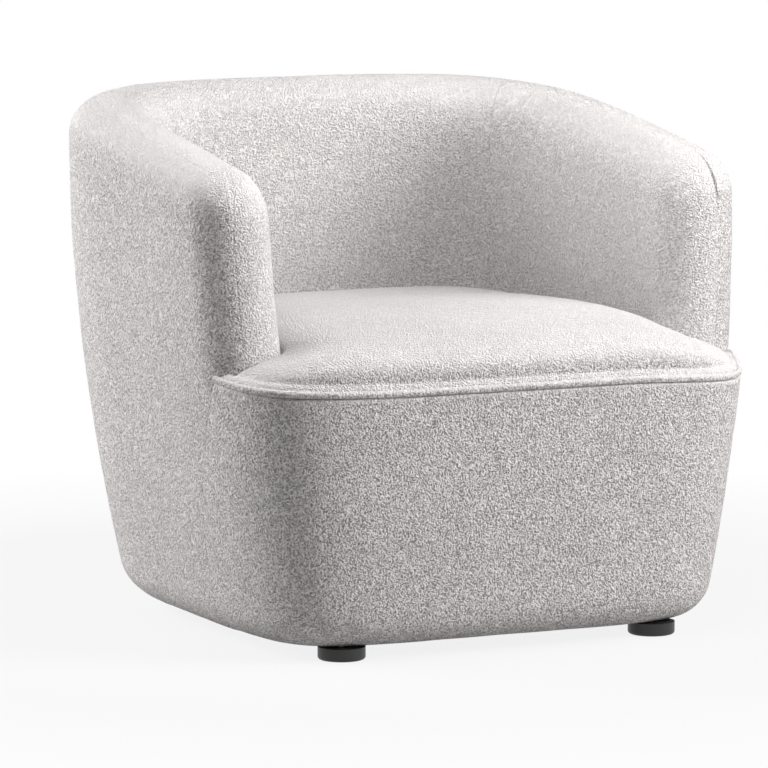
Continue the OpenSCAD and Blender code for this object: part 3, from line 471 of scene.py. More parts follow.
def mesh_object(name, points, faces, smooth=True):
    """A mesh object at the origin from points in millimetres, closed and with normals outwards."""
    mesh = bpy.data.meshes.new(name)
    mesh.from_pydata((np.asarray(points) * MM).tolist(), [], [list(map(int, f)) for f in faces])
    work = bmesh.new()
    work.from_mesh(mesh)
    bmesh.ops.remove_doubles(work, verts=work.verts, dist=JOIN_DIST)
    bmesh.ops.dissolve_degenerate(work, edges=work.edges, dist=DROP_DIST)
    loose = [v for v in work.verts if not v.link_faces]
    bmesh.ops.delete(work, geom=loose, context="VERTS")
    bmesh.ops.recalc_face_normals(work, faces=work.faces)
    work.to_mesh(mesh)
    work.free()
    mesh.shade_smooth() if smooth else mesh.shade_flat()
    obj = bpy.data.objects.new(name, mesh)
    bpy.context.scene.collection.objects.link(obj)
    return obj


def mark_upward(mesh, least):
    """Stores how far each point of a mesh faces up, or at least a share, for the cloth's painted
    shade.
    """
    normals = np.empty(len(mesh.vertices) * 3, np.float32)
    mesh.vertex_normals.foreach_get("vector", normals)
    made = mesh.attributes.new("facing_up", "FLOAT", "POINT")
    made.data.foreach_set("value", np.maximum(least, normals[2::3]))


def dressed(obj, material, nodes=(), shade_lift=0.0):
    """Gives a finished piece its material, hangs it under the root body and hides the frame's nodes
    that it stands for.
    """
    # The cloth's painted shade is darker where a point faces less upward; this stores that facing
    mark_upward(obj.data, shade_lift)
    obj.data.materials.clear()
    obj.data.materials.append(material)
    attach(obj, "root")
    if nodes:
        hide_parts(*nodes)
    return obj


# ---------------------------------------------------------------- upholstery shapes

# How deep each kind of seam turns in, as a share of its rounding
RIM_SHARE, BACK_SHARE, SIDE_SEAM_SHARE, INSIDE_SHARE, NOSE_BASE_SHARE = 0.15, 0.8, 0.3, 0.6, 0.9
# The same for the arm front's seam: near the seat, what it gains on the way up, and where
NOSE_SEAM_SHARE, NOSE_SEAM_GAIN, NOSE_GAIN_H = 0.3, 0.08, (430, 575)
# Shallow hollow of the padding along a seam, in millimetres
HOLLOW_DEPTH, HOLLOW_REACH = 0.6, 12
# Waves of the padded cloth: share of the unevenness, size in millimetres and seed
PANEL_WAVES, SEAT_WAVES = ((0.7, 95, 3), (0.35, 38, 7)), ((0.9, 120, 41), (0.35, 42, 43))


class Groove:
    """Seams at which a panel's edges turn in, with how deep they are from place to place."""

    def __init__(self, lines, r, depth=1.0, strength=None):
        self.lines = SeamLines(np.concatenate(lines))
        self.r, self.depth, self.strength = r, depth, strength

    def at(self, points):
        """How deep the panel turns in at each point."""
        s = self.lines.distance(points)
        hollow = HOLLOW_DEPTH * np.exp(-(s / HOLLOW_REACH) ** 2)
        depth = self.depth * turn_in(s, self.r) + hollow
        return depth * (self.strength(points) if self.strength else 1.0)


def fading_down(points):
    """Strength of the arm front's seam: slight, and a little more towards the rim."""
    return NOSE_SEAM_SHARE + NOSE_SEAM_GAIN * smooth_step(*NOSE_GAIN_H, points[..., 2])


def uneven(points, size, layers):
    """How far the padded cloth rises or sinks at each point, in millimetres."""
    return size.unevenness / MM * sum(share * waves(points, length, seed)
                                      for share, length, seed in layers)


def dress_surface(top, under, grooves, size):
    """Turns the edges in at the seams and adds the slight unevenness of padded cloth."""
    normal = grid_normals(top)
    normal = normal * np.sign((normal * (top - under)).sum())
    depth = np.maximum.reduce([groove.at(top) for groove in grooves])
    return top + normal * (uneven(top, size, PANEL_WAVES) - depth)[..., None]


def panel_parts(place, profile, u, s, thick, side=1):
    """Outer and inner points of a panel at stations u and lengths s of its profile."""
    d, h = profile.at(s)
    inward_d, inward_h = profile.inward(s, -1 if profile is INNER else 1)
    top = place(u[:, None], d[None, :], h[None, :])
    under = place(u[:, None], (d + thick * inward_d)[None, :], (h + thick * inward_h)[None, :])
    return top * [side, 1, 1], under * [side, 1, 1]


def outer_panel(side, size):
    """Half of the outer back, one side and the outer part of the arm front."""
    step = size.mesh_step / MM
    u = stations(outer_plan, 0, 0, 3, step, (0, 2, 3))
    low = spaced(0, NOSE_BASE_S, step, False, True)
    high = spaced(NOSE_BASE_S, OUTER.length, step)
    s = np.concatenate([low, high[1:]])
    top, under = panel_parts(partial(on_wall, outer_plan), OUTER, u, s, OUTER_DEPTH, side)
    keep = np.ones((len(u) - 1, len(s) - 1), bool)
    keep[np.ix_(u[:-1] >= 2 - 1e-6, s[:-1] < NOSE_BASE_S - 1e-6)] = False
    r = size.seam_round / MM
    grooves = [Groove([rim_seam(side)], r, RIM_SHARE), Groove([back_seam()], r, BACK_SHARE),
               Groove([side_seam(side)], r, SIDE_SEAM_SHARE),
               Groove([nose_base(side)], r, NOSE_BASE_SHARE),
               Groove([nose_seam(side)], r, 1, fading_down)]
    return slab(dress_surface(top, under, grooves, size), under, keep)


def inner_parts(u, size, side):
    """Outer and inner points of an inside panel, with one row of points on the rim's ridge."""
    ridge = INNER.s[np.argmin(np.abs(INNER.path[:, 0] - WALL_T / 2)
                              + (INNER.path[:, 1] < CHAIR_H - 1e-6))]
    step = size.mesh_step / MM
    rows = np.concatenate([spaced(0, ridge, step, False, False),
                           spaced(ridge, INNER.length, step, False, True)[1:]])
    return panel_parts(partial(on_wall, inner_plan), INNER, u, rows, INNER_DEPTH, side)


def inside_arm_panel(side, size):
    """Inside of one arm, its rim and the inner part of its rounded front."""
    u = stations(inner_plan, WALL_T, INSIDE_SEAM_U, 3, size.mesh_step / MM, (INSIDE_SEAM_U, 3))
    top, under = inner_parts(u, size, side)
    r = size.seam_round / MM
    grooves = [Groove([rim_seam(side)], r, RIM_SHARE), Groove([inside_seam(side)], r, INSIDE_SHARE),
               Groove([nose_seam(side)], r, 1, fading_down)]
    return slab(dress_surface(top, under, grooves, size), under)


def inside_back_panel(size):
    """Inside of the back and its rim, between the two inside seams."""
    half = stations(inner_plan, WALL_T, 0, INSIDE_SEAM_U, size.mesh_step / MM, (INSIDE_SEAM_U,))
    u = np.concatenate([-half[:0:-1], half])
    top, under = inner_parts(u, size, 1)
    r = size.seam_round / MM
    grooves = [Groove([rim_seam(-1), rim_seam(1)], r, RIM_SHARE),
               Groove([inside_seam(-1), inside_seam(1)], r, INSIDE_SHARE)]
    return slab(dress_surface(top, under, grooves, size), under)


def front_outline(share, z):
    """Outline of the front between the side seams, at shares of its turn and heights z."""
    first = front_deg(side_reach(np.minimum(z, JUST_BELOW_TOP_H)), 0, z)
    return front_pt(180 - (first + (180 - 2 * first) * share), 0, z)


def front_points(share, d, h):
    """Points of the front panel at shares of its width and profile places d, h."""
    share, d, h = np.broadcast_arrays(share, np.asarray(d, float), np.asarray(h, float))
    dense = np.linspace(0, 1, 2001)
    run = run_length(*front_outline(dense, np.array(FRONT_SPACING_H)))
    turn = np.interp(share, run / run[-1], dense)
    z = h
    for _ in range(3):
        rise = seam_z(front_outline(turn, z)[1]) - SEAT_SEAM_H
        z = h + rise * smooth_step(SEAM_EASE_H, SEAT_SEAM_H, h)
    x, y = front_outline(turn, z)
    ax, ay = front_outline(np.maximum(0, turn - 1e-4), z)
    bx, by = front_outline(np.minimum(1, turn + 1e-4), z)
    nx, ny = -(by - ay), bx - ax
    n = np.maximum(1e-9, np.hypot(nx, ny))
    # Beside a side seam the panel gets its thickness straight across the chair
    ease = smooth_step(0, SEAM_BLEND, np.minimum(share, 1 - share) * run[-1])
    nx = -np.sign(x) * (1 - ease) + nx / n * ease
    ny = ny / n * ease
    n = np.hypot(nx, ny)
    return np.stack([x + d * nx / n, y + d * ny / n, z], axis=-1)


# Length of the front panel, and the radius at which its top edge turns in under the seat
FRONT_RUN, SEAT_SEAM_ROUND = 1030.0, 5.5
# Height at which the front's points are spaced evenly, height from which its rows start to follow
# the seat seam, and the length beside a side seam over which its thickness turns
FRONT_SPACING_H, SEAM_EASE_H, SEAM_BLEND = 300.0, 235, 45


def front_panel(size):
    """The front below the seat, from one side seam round both corners to the other."""
    step = size.mesh_step / MM
    share = spaced(0, FRONT_RUN, step) / FRONT_RUN
    s = spaced(0, FRONT.length, step, False, True)
    top, under = panel_parts(front_points, FRONT, share, s, OUTER_DEPTH)
    r = size.seam_round / MM
    grooves = [Groove([side_seam(-1), side_seam(1)], r, SIDE_SEAM_SHARE),
               Groove([dense_line(front_path(0))], SEAT_SEAM_ROUND)]
    return slab(dress_surface(top, under, grooves, size), under)


# The seat's edge follows the walls at this height, a little clear of them
SEAT_EDGE_Z, SEAT_GAP = 380.0, 0.3
# The seat's front edge lies this far inside the outline and above the seam
SEAT_EDGE_D, SEAT_EDGE_RISE = 4.0, 13.5
# Height of the seat above its seam, at the back and where it meets the arm fronts
SEAT_BACK_RISE, SEAT_FRONT_RISE = 28.0, 48.0
# Heights of the seat against the arm front, by the angle from the arm's outer side
CONTACT_DEG = [34, 57, 68, 82, 97, 115, 142, 180]
CONTACT_H = [360, 367, 374, 380, 385, 389, 392, 392]
# Shares of the seat's side at which its back corner, its wall and its turn at the arm front end
CORNER_SHARE, SIDE_SHARE, NOSE_SHARE = 0.28, 0.73, 0.975
# Angles from the arm's outer side to which the seat's side and then its corner tip turn
SEAT_TURN_DEG, TIP_DEG = 60.0, 34.0
# The crown's height, how full it is, and how far its top lies forward
CROWN, CROWN_POWER, CROWN_FORWARD = 55.0, 2.8, 0.16
# Lengths by which the seat's rows and columns are spaced
SEAT_ACROSS, SEAT_ALONG = 740, 900.0
# Roundings where the seat tucks in at the walls and where it turns in at its front edge
TUCK_R, ROLL_R = 10, 8
# The cushion's underside is this much narrower and shorter, about a point in front of mid depth
UNDER_W, UNDER_D, UNDER_Y = 0.97, 0.93, 80
# How far the corner tips' underside lies inwards and below
TIP_LEAN, TIP_DEPTH = 3, 22


def mix(a, b, t):
    """Value from a to b by a share t."""
    return a + (b - a) * t


def seat_edge_h(y):
    """Height of the seat's front edge."""
    return seam_z(y) + SEAT_EDGE_RISE


def arm_edge(deg, z):
    """Seat's edge at the right arm front, by the angle from the arm's outer side."""
    cx, cy = nose_centre(z)
    r, a = NOSE_R + SEAT_GAP, np.radians(deg)
    return cx + r * np.cos(a), cy - r * np.sin(a)


def seat_side(t):
    """Right edge of the seat: along the wall and round the arm front to the seat's corner."""
    marks = (0, CORNER_SHARE, SIDE_SHARE, NOSE_SHARE, 1)
    q1, q2, q3, q4 = (np.clip((t - a) / (b - a), 0, 1) for a, b in zip(marks, marks[1:]))
    z = np.full_like(t, SEAT_EDGE_Z)
    gap = WALL_T + SEAT_GAP
    ax, ay = rear_pt(45 * (1 - q1), gap, z)
    by = -nose_y(z) * q2
    bx = side_x(by, z) - gap
    deg = 180 - (180 - SEAT_TURN_DEG) * q3
    dx, dy = arm_edge(deg, z)
    contact = np.interp(deg, CONTACT_DEG, CONTACT_H)
    end = seat_front(np.array([1.0]))[0]
    back, front = SEAT_SEAM_H + SEAT_BACK_RISE, SEAT_SEAM_H + SEAT_FRONT_RISE
    parts = [t < mark for mark in marks[1:-1]]
    x = np.select(parts, [ax, bx, dx], mix(dx[-1], end[0], q4))
    y = np.select(parts, [ay, by, dy], mix(dy[-1], end[1], q4))
    h = np.select(parts, [back + 0 * t, mix(back, front, q2), contact], mix(contact, end[2], q4))
    return np.stack([x, y, h], axis=-1)


def seat_front(s):
    """Front edge of the seat, from the left corner to the right one."""
    corner_y = float(arm_edge(SEAT_TURN_DEG, np.array(SEAT_EDGE_Z))[1])
    start = front_deg(-corner_y, SEAT_EDGE_D, SEAT_SEAM_H)
    x, y = front_pt(180 - start - (180 - 2 * start) * s, SEAT_EDGE_D, SEAT_SEAM_H)
    return np.stack([x, y, seat_edge_h(y)], axis=-1)


def seat_back(s):
    """Back edge of the seat, from left to right."""
    x, y = rear_pt(135 - 90 * s, WALL_T + SEAT_GAP, np.full_like(s, SEAT_EDGE_Z))
    return np.stack([x, y, np.full_like(s, SEAT_SEAM_H + SEAT_BACK_RISE)], axis=-1)


def seat_top(s, t):
    """Crowned seat surface between its back edge, side edges and front edge."""
    back, front, right = seat_back(s), seat_front(s), seat_side(t)
    left = flip_x(right)
    across, along = s[:, None, None], t[None, :, None]
    base = mix(back[:, None], front[:, None], along) + mix(left[None], right[None], across)
    corners = mix(mix(left[0], right[0], across), mix(left[-1], right[-1], across), along)
    v = np.minimum(1, t + 4 * CROWN_FORWARD * t * (1 - t))
    crown = ((1 - np.abs(2 * s - 1) ** CROWN_POWER)[:, None]
             * (1 - np.abs(2 * v - 1) ** CROWN_POWER)[None, :])
    grid = base - corners
    grid[..., 2] += CROWN * crown
    return grid


def seat_tip(columns, side):
    """Corner of the seat that reaches back between an arm front and the outline."""
    turn = np.linspace(SEAT_TURN_DEG, TIP_DEG, 12)
    nx, ny = arm_edge(turn, np.full_like(turn, SEAT_EDGE_Z))
    ox = front_pt(front_deg(-ny, SEAT_EDGE_D, SEAT_SEAM_H), SEAT_EDGE_D, SEAT_SEAM_H)[0]
    k = np.linspace(0, 1, columns)[None, :]
    x = mix(nx[:, None], np.maximum(ox, nx + 1)[:, None], k)
    y = np.repeat(ny[:, None], columns, axis=1)
    contact = np.interp(turn, CONTACT_DEG, CONTACT_H)[:, None]
    grid = np.stack([x, y, mix(contact, seat_edge_h(y), k)], axis=-1)
    return grid * [side, 1, 1]


def seat_cushion(size):
    """The crowned seat cushion with its rolled edges and its two corner tips."""
    step = size.mesh_step / MM
    s = spaced(0, SEAT_ACROSS, step) / SEAT_ACROSS
    t = np.concatenate([spaced(0, SEAT_ALONG * NOSE_SHARE, step, True, False) / SEAT_ALONG,
                        np.linspace(NOSE_SHARE, 1, 9)[1:]])
    top = seat_top(s, t)
    flat = np.array([1, 1, 0])
    right = dense_line(seat_side(np.linspace(0, NOSE_SHARE, 600)))
    back = dense_line(seat_back(np.linspace(0, 1, 300)))
    tuck = SeamLines(np.concatenate([back, right, flip_x(right)]) * flat)
    roll = SeamLines(dense_line(seat_front(np.linspace(0, 1, 500))) * flat)
    drop = np.maximum(turn_in(tuck.distance(top * flat), TUCK_R),
                      turn_in(roll.distance(top * flat), ROLL_R))
    top[..., 2] += uneven(top, size, SEAT_WAVES) - drop
    under = top.copy()
    under[..., 0] *= UNDER_W
    under[..., 1] = (under[..., 1] + UNDER_Y) * UNDER_D - UNDER_Y
    under[..., 2] = FOAM_BASE_H
    points, faces = slab(top, under)
    for side in (1, -1):
        tip = seat_tip(9, side)
        tip[..., 2] -= turn_in(np.abs(tip[..., 0] - tip[:, -1:, 0]), ROLL_R)
        low = tip - np.array([side * TIP_LEAN, 0, TIP_DEPTH])
        more, cells = slab(tip, low)
        faces = np.concatenate([faces, cells + len(points)])
        points = np.concatenate([points, more])
    return points, faces


# ---------------------------------------------------------------- shader and geometry nodes

class Value:
    """A node socket that can stand in a sum; each operator adds the Math node that it means."""

    def __init__(self, tree, socket):
        self.tree, self.socket = tree, socket

    def _math(self, operation, *values):
        made = Nodes(self.tree).node("ShaderNodeMath", {"operation": operation},
                                     **{f"i{k}": v for k, v in enumerate(values)})
        return Value(self.tree, made.outputs[0])

    def __add__(self, other):
        return self._math("ADD", self, other)

    def __radd__(self, other):
        return self._math("ADD", other, self)

    def __sub__(self, other):
        return self._math("SUBTRACT", self, other)

    def __rsub__(self, other):
        return self._math("SUBTRACT", other, self)

    def __mul__(self, other):
        return self._math("MULTIPLY", self, other)

    def __rmul__(self, other):
        return self._math("MULTIPLY", other, self)

    def __abs__(self):
        return self._math("ABSOLUTE", self)

    def clipped(self):
        """The value, held between 0 and 1."""
        return self._math("MINIMUM", self._math("MAXIMUM", self, 0.0), 1.0)


class Nodes:
    """A node tree, with one way to add any node to it."""

    def __init__(self, tree):
        self.tree = tree

    def feed(self, slot, value):
        """Links a socket or value to an input, or sets the input to a number or colour."""
        if isinstance(value, Value):
            value = value.socket
        if isinstance(value, bpy.types.NodeSocket):
            self.tree.links.new(value, slot)
        else:
            slot.default_value = value

    def node(self, kind, settings=None, **values):
        """Adds a node of a kind; its settings go first and then its sockets' values or links."""
        made = self.tree.nodes.new(kind)
        for key, value in (settings or {}).items():
            setattr(made, key, value)
        for key, value in values.items():
            by_place = key[0] == "i" and key[1:].isdigit()
            self.feed(made.inputs[int(key[1:]) if by_place else key.replace("_", " ")], value)
        return made

    def vector(self, operation, *values, output="Vector", **more):
        """Socket with the result of a vector operation."""
        made = self.node("ShaderNodeVectorMath", {"operation": operation},
                         **{f"i{k}": v for k, v in enumerate(values)}, **more)
        return made.outputs[output]


class Finish(Nodes):
    """A material on one Principled shader, with short ways to add the nodes that feed it."""

    def __init__(self, name, roughness=0.8, metallic=0.0):
        self.material = bpy.data.materials.new(name)
        self.material.use_nodes = True
        super().__init__(self.material.node_tree)
        self.shader = next(n for n in self.tree.nodes if n.type == "BSDF_PRINCIPLED")
        self.set(Roughness=roughness, Metallic=metallic)
        self.place = self.node("ShaderNodeTexCoord").outputs["Object"]

    def set(self, **values):
        """Sets or links inputs of the shader."""
        for key, value in values.items():
            self.feed(self.shader.inputs[key.replace("_", " ")], value)

    def noise(self, scale, detail=2.0, roughness=0.5, at=None, output="Fac"):
        """Soft noise, with more cells to the metre where scale is larger."""
        made = self.node("ShaderNodeTexNoise", {}, Vector=at or self.place, Scale=scale,
                         Detail=detail, Roughness=roughness)
        return Value(self.tree, made.outputs[output])

    def cells(self, scale, at=None, randomness=1.0):
        """Distance from the middle of each cell of a cellular pattern."""
        made = self.node("ShaderNodeTexVoronoi", {"feature": "F1"}, Vector=at or self.place,
                         Scale=scale, Randomness=randomness)
        return Value(self.tree, made.outputs["Distance"])

    def bands(self, direction, place, scale, distortion, detail):
        """Wavy bands across one direction."""
        made = self.node("ShaderNodeTexWave", {"wave_type": "BANDS", "bands_direction": direction},
                         Vector=place, Scale=scale, Distortion=distortion, Detail=detail)
        return Value(self.tree, made.outputs["Fac"])

    def stretched(self, x, y, z):
        """The object's coordinates, stretched along its axes."""
        return self.vector("MULTIPLY", self.place, (x, y, z))

    def blend(self, fac, a, b):
        """Colour mixed from a to b by a value."""
        return self.node("ShaderNodeMix", {"data_type": "RGBA"}, i0=fac, i6=a, i7=b).outputs[2]

    def bump(self, height, strength=1.0, distance=0.001):
        """Lets a height value tilt the shading, over a distance in metres."""
        made = self.node("ShaderNodeBump", {}, Height=height, Strength=strength, Distance=distance)
        self.set(Normal=made.outputs["Normal"])


def toned(colour, share=1.0):
    """A colour made darker or lighter by a share, with full alpha."""
    return (*(min(1, c * share) for c in colour[:3]), 1.0)


def boucle(colours, size):
    """Looped woollen pile: curls over knots, with painted shade in the gaps between the loops that
    is darker where the cloth faces less upward.
    """
    finish = Finish("boucle cloth", roughness=0.95)
    finish.set(Sheen_Weight=0.18, Sheen_Roughness=0.6, Specular_IOR_Level=0.12)
    # The dark colour is painted shade, standing for the shade in the gaps between the loops
    dark, light = toned(colours.boucle_gap_shade), toned(colours.boucle_light)
    drift = finish.noise(60, 1.0, output="Color")
    shift = finish.vector("SUBTRACT", drift, (0.5, 0.5, 0.5))
    curl = finish.vector("MULTIPLY_ADD", shift, (0.012, 0.012, 0.012), finish.place)
    scale = 1 / size.curl
    worms = 1 - abs(finish.noise(scale, 1.0, at=curl) * 2 - 1) * 3.4
    knots = 1 - finish.cells(scale * 1.2, at=curl) * 1.35
    grain = (finish.noise(scale * 1.5, 1.0) * 3.2 - 1.1).clipped()
    height = (worms.clipped() * 0.4 + knots.clipped() * 0.45 + grain * 0.35).clipped()
    blotch = finish.noise(5.5) * 0.16 + 0.92
    # Painted shade: the low places between the loops take the gap colour
    shade = (height * 2.0 - 0.45).clipped()
    # Painted shade: the gap colour deepens where the cloth faces less upward
    up = finish.node("ShaderNodeAttribute", {"attribute_name": "facing_up"}).outputs["Fac"]
    gap = finish.blend((Value(finish.tree, up) * 1.7).clipped() * 0.78, dark, light)
    colour = finish.blend(shade, gap, light)
    finish.set(Base_Color=finish.vector("SCALE", colour, Scale=blotch))
    finish.bump(height, 1.0, size.pile)
    return finish.material


def moulded_plastic(colours):
    """Black moulded plastic of the feet, satin with a fine grain and light scuffs."""
    finish = Finish("foot plastic", roughness=0.42)
    grain = finish.noise(1400)
    scuff = (finish.noise(90, 4.0, 0.7) - 0.62).clipped() * 2.5
    black = toned(colours.foot_black)
    worn = toned([c * 2.4 + 0.01 for c in black[:3]])
    finish.set(Base_Color=finish.blend(scuff.clipped(), black, worn), Roughness=grain * 0.14 + 0.34)
    finish.bump(grain, 0.25, 0.0002)
    return finish.material


def sawn_timber(name, light, dark, along, layered=False):
    """Unfinished timber with its grain along one axis, or plywood with its layers across z."""
    finish = Finish(name, roughness=0.7)
    place = finish.stretched(*(1.0 if axis == along else 14.0 for axis in range(3)))
    warp = finish.noise(0.9, 3.0, at=place)
    rings = finish.bands("DIAGONAL", place, 3.0, 4.5, 2.0)
    grain = rings * 0.6 + finish.noise(16, 4.0, 0.65, place) * 0.55
    grain = (grain - warp * 0.25).clipped()
    colour = finish.blend(grain, dark, toned(light))
    if layered:
        layer = (finish.bands("Z", finish.place, 88.0, 0.25, 1.0) * 1.6 - 0.6).clipped()
        colour = finish.blend(layer * 0.3, colour, toned(dark, 0.55))
    finish.set(Base_Color=colour, Roughness=grain * 0.15 + 0.6)
    finish.bump(grain + finish.noise(420) * 0.5, 0.35, 0.0006)
    return finish.material


def planed_timber(colours):
    """Planed rails and posts, with the grain from front to back."""
    return sawn_timber("timber", colours.timber, toned(colours.timber, 0.55), 1)


def plywood(colours):
    """Sawn plywood, with its grain upright and its layers one over the other."""
    return sawn_timber("plywood", colours.plywood, toned(colours.plywood, 0.62), 2, layered=True)


def fibreboard(colours):
    """Thin brown pressed board with short fibres and pale flecks."""
    finish = Finish("pressed board", roughness=0.82)
    fibres = finish.noise(520, 4.0, 0.75)
    fleck = (finish.cells(260) * -2.2 + 0.75).clipped()
    pale = toned(colours.board, 1.45)
    colour = finish.blend(fibres, toned(colours.board, 0.7), pale)
    finish.set(Base_Color=finish.blend(fleck * 0.4, colour, pale))
    finish.bump(fibres, 0.4, 0.0004)
    return finish.material


def needled_felt(colours):
    """Grey felt made from mixed short fibres."""
    finish = Finish("needled felt", roughness=0.97)
    finish.set(Sheen_Weight=0.2)
    fibre = finish.noise(900, 3.0, 0.8, finish.stretched(1.0, 0.35, 1.0))
    blotch = finish.noise(70)
    finish.set(Base_Color=finish.blend(fibre * 0.7 + blotch * 0.3, toned(colours.felt, 0.5),
                                       toned(colours.felt, 1.6)))
    finish.bump(fibre, 0.6, 0.0008)
    return finish.material


def dust_cloth(colours):
    """Dark bonded cloth under the seat, with its pressed dots."""
    finish = Finish("dust cloth", roughness=0.9)
    pressed = (finish.cells(480.0, randomness=0.12) * 3.0 - 0.4).clipped()
    fibre = finish.noise(1100, 3.0, 0.8)
    finish.set(Base_Color=finish.blend(fibre * 0.6 + pressed * 0.4, toned(colours.dust_cloth, 0.55),
                                       toned(colours.dust_cloth, 1.5)))
    finish.bump(pressed + fibre * 0.5, 0.5, 0.0004)
    return finish.material


def drawn_wire(colours):
    """Bright spring wire with fine marks of drawing and an oily film."""
    finish = Finish("spring wire", roughness=0.35, metallic=1.0)
    marks = finish.noise(2200, 2.0, 0.6, finish.stretched(1.0, 0.08, 1.0))
    film = finish.noise(45, 3.0)
    finish.set(Base_Color=finish.blend(film, toned(colours.wire, 0.72), toned(colours.wire)),
               Roughness=marks * 0.2 + 0.26)
    finish.bump(marks, 0.15, 0.0001)
    return finish.material


def zinc_plate(colours):
    """Zinc-plated hardware, faintly clouded and yellowed."""
    finish = Finish("zinc plate", roughness=0.4, metallic=1.0)
    cloud = finish.noise(160, 4.0, 0.6)
    spangle = finish.cells(700)
    warm = toned([c * share for c, share in zip(colours.zinc, (0.92, 0.86, 0.62))])
    finish.set(Base_Color=finish.blend(cloud, toned(colours.zinc), warm),
               Roughness=spangle * 0.3 + 0.25)
    finish.bump(cloud, 0.12, 0.0002)
    return finish.material


# ---------------------------------------------------------------- what follows a path

class Steps(Nodes):
    """A Geometry Nodes tree with named inputs, built node by node."""

    def __init__(self, name, inputs):
        super().__init__(bpy.data.node_groups.new(name, "GeometryNodeTree"))
        face = self.tree.interface
        face.new_socket("Geometry", in_out="INPUT", socket_type="NodeSocketGeometry")
        self.keys = {}
        for label, value in inputs.items():
            made = face.new_socket(label, in_out="INPUT", socket_type="NodeSocketFloat")
            made.default_value = value
            self.keys[label] = made.identifier
        face.new_socket("Geometry", in_out="OUTPUT", socket_type="NodeSocketGeometry")
        self.given = self.node("NodeGroupInput").outputs
        self.result = self.node("NodeGroupOutput")

    def section(self, radius, sides):
        """Round section of a wire or cord."""
        ring = self.node("GeometryNodeCurvePrimitiveCircle", {"mode": "RADIUS"}, Resolution=sides,
                         Radius=radius)
        return ring.outputs["Curve"]

    def finish(self, geometry, material):
        """Makes the geometry real, gives it its material and puts it out of the tree."""
        real = self.node("GeometryNodeRealizeInstances", Geometry=geometry)
        painted = self.node("GeometryNodeSetMaterial", Geometry=real.outputs[0], Material=material)
        self.feed(self.result.inputs[0], painted.outputs[0])

    def made_on(self, base, name, **values):
        """The tree's result on a base object, as a plain mesh object of its own."""
        modifier = base.modifiers.new(name, "NODES")
        modifier.node_group = self.tree
        for label, value in values.items():
            modifier[self.keys[label]] = value
        base.update_tag()
        bpy.context.view_layer.update()
        shown = base.evaluated_get(bpy.context.evaluated_depsgraph_get())
        mesh = bpy.data.meshes.new_from_object(shown)
        mesh.name = name
        base.modifiers.remove(modifier)
        obj = bpy.data.objects.new(name, mesh)
        bpy.context.scene.collection.objects.link(obj)
        bpy.data.objects.remove(base)
        return obj


# Height in metres of a staple's leg that shows, and in millimetres how far the staples' line is
# from the base's edge and under the cloth
STAPLE_LEG = 0.0012
STAPLE_INSET, STAPLE_DROP = 15.0, 0.3


def path_object(name, points, closed=False):
    """A poly curve at the origin through points in millimetres."""
    curve = bpy.data.curves.new(name, "CURVE")
    curve.dimensions = "3D"
    spline = curve.splines.new("POLY")
    spline.points.add(len(points) - 1)
    for slot, p in zip(spline.points, np.asarray(points) * MM):
        slot.co = (*p, 1.0)
    spline.use_cyclic_u = closed
    obj = bpy.data.objects.new(name, curve)
    bpy.context.scene.collection.objects.link(obj)
    return obj


def welt_steps(material):
    """Covered cord along a path: a round section whose cloth is slightly uneven."""
    g = Steps("welt along a path", {"Radius": 0.0045, "Unevenness": 0.0006, "Spacing": 0.004})
    even = g.node("GeometryNodeResampleCurve", {"mode": "LENGTH"}, Curve=g.given["Geometry"],
                  Length=g.given["Spacing"])
    ring = g.section(g.given["Radius"], 14)
    cord = g.node("GeometryNodeCurveToMesh", Curve=even.outputs["Curve"], Profile_Curve=ring,
                  Fill_Caps=True)
    bumps = g.node("ShaderNodeTexNoise", {"noise_dimensions": "3D"}, Scale=130.0, Detail=1.0)
    amount = (Value(g.tree, bumps.outputs["Fac"]) - 0.5) * Value(g.tree, g.given["Unevenness"])
    normal = g.node("GeometryNodeInputNormal").outputs["Normal"]
    moved = g.node("GeometryNodeSetPosition", Geometry=cord.outputs["Mesh"],
                   Offset=g.vector("SCALE", normal, Scale=amount))
    soft = g.node("GeometryNodeSetShadeSmooth", Geometry=moved.outputs["Geometry"])
    g.finish(soft.outputs["Geometry"], material)
    return g


def staple_steps(material):
    """Wire staples along a path, each a crown with its two bent-down legs."""
    g = Steps("staples along a path", {"Spacing": 0.032, "Crown": 0.01, "Wire Radius": 0.00045})
    even = g.node("GeometryNodeCurveToPoints", {"mode": "LENGTH"}, Curve=g.given["Geometry"],
                  Length=g.given["Spacing"])
    halves = [Value(g.tree, g.given["Crown"]) * half for half in (0.5, -0.5)]
    right, left = (g.node("ShaderNodeCombineXYZ", X=half).outputs[0] for half in halves)

    def wire(start, end):
        return g.node("GeometryNodeCurvePrimitiveLine", {"mode": "POINTS"}, Start=start,
                      End=end).outputs["Curve"]
    parts = [wire(left, right)]
    parts += [wire(end, g.vector("ADD", end, (0.0, 0.0, STAPLE_LEG))) for end in (left, right)]
    wires = g.node("GeometryNodeJoinGeometry")
    for part in parts:
        g.feed(wires.inputs[0], part)
    ring = g.section(g.given["Wire Radius"], 6)
    staple = g.node("GeometryNodeCurveToMesh", Curve=wires.outputs[0], Profile_Curve=ring,
                    Fill_Caps=True)
    turn = g.node("FunctionNodeAlignRotationToVector", {"axis": "X"},
                  Vector=even.outputs["Tangent"])
    placed = g.node("GeometryNodeInstanceOnPoints", Points=even.outputs["Points"],
                    Instance=staple.outputs["Mesh"], Rotation=turn.outputs[0])
    g.finish(placed.outputs["Instances"], material)
    return g


# ---------------------------------------------------------------- sizes and colours to change

def length_property(name, text, default, low, high):
    """A length in metres that the panel shows."""
    return FloatProperty(name=name, description=text, default=default, min=low, max=high,
                         subtype="DISTANCE")


def colour_property(name, text, value):
    """A colour that the panel shows."""
    return FloatVectorProperty(name=name, description=text, default=value, size=3, min=0, max=1,
                               subtype="COLOR")


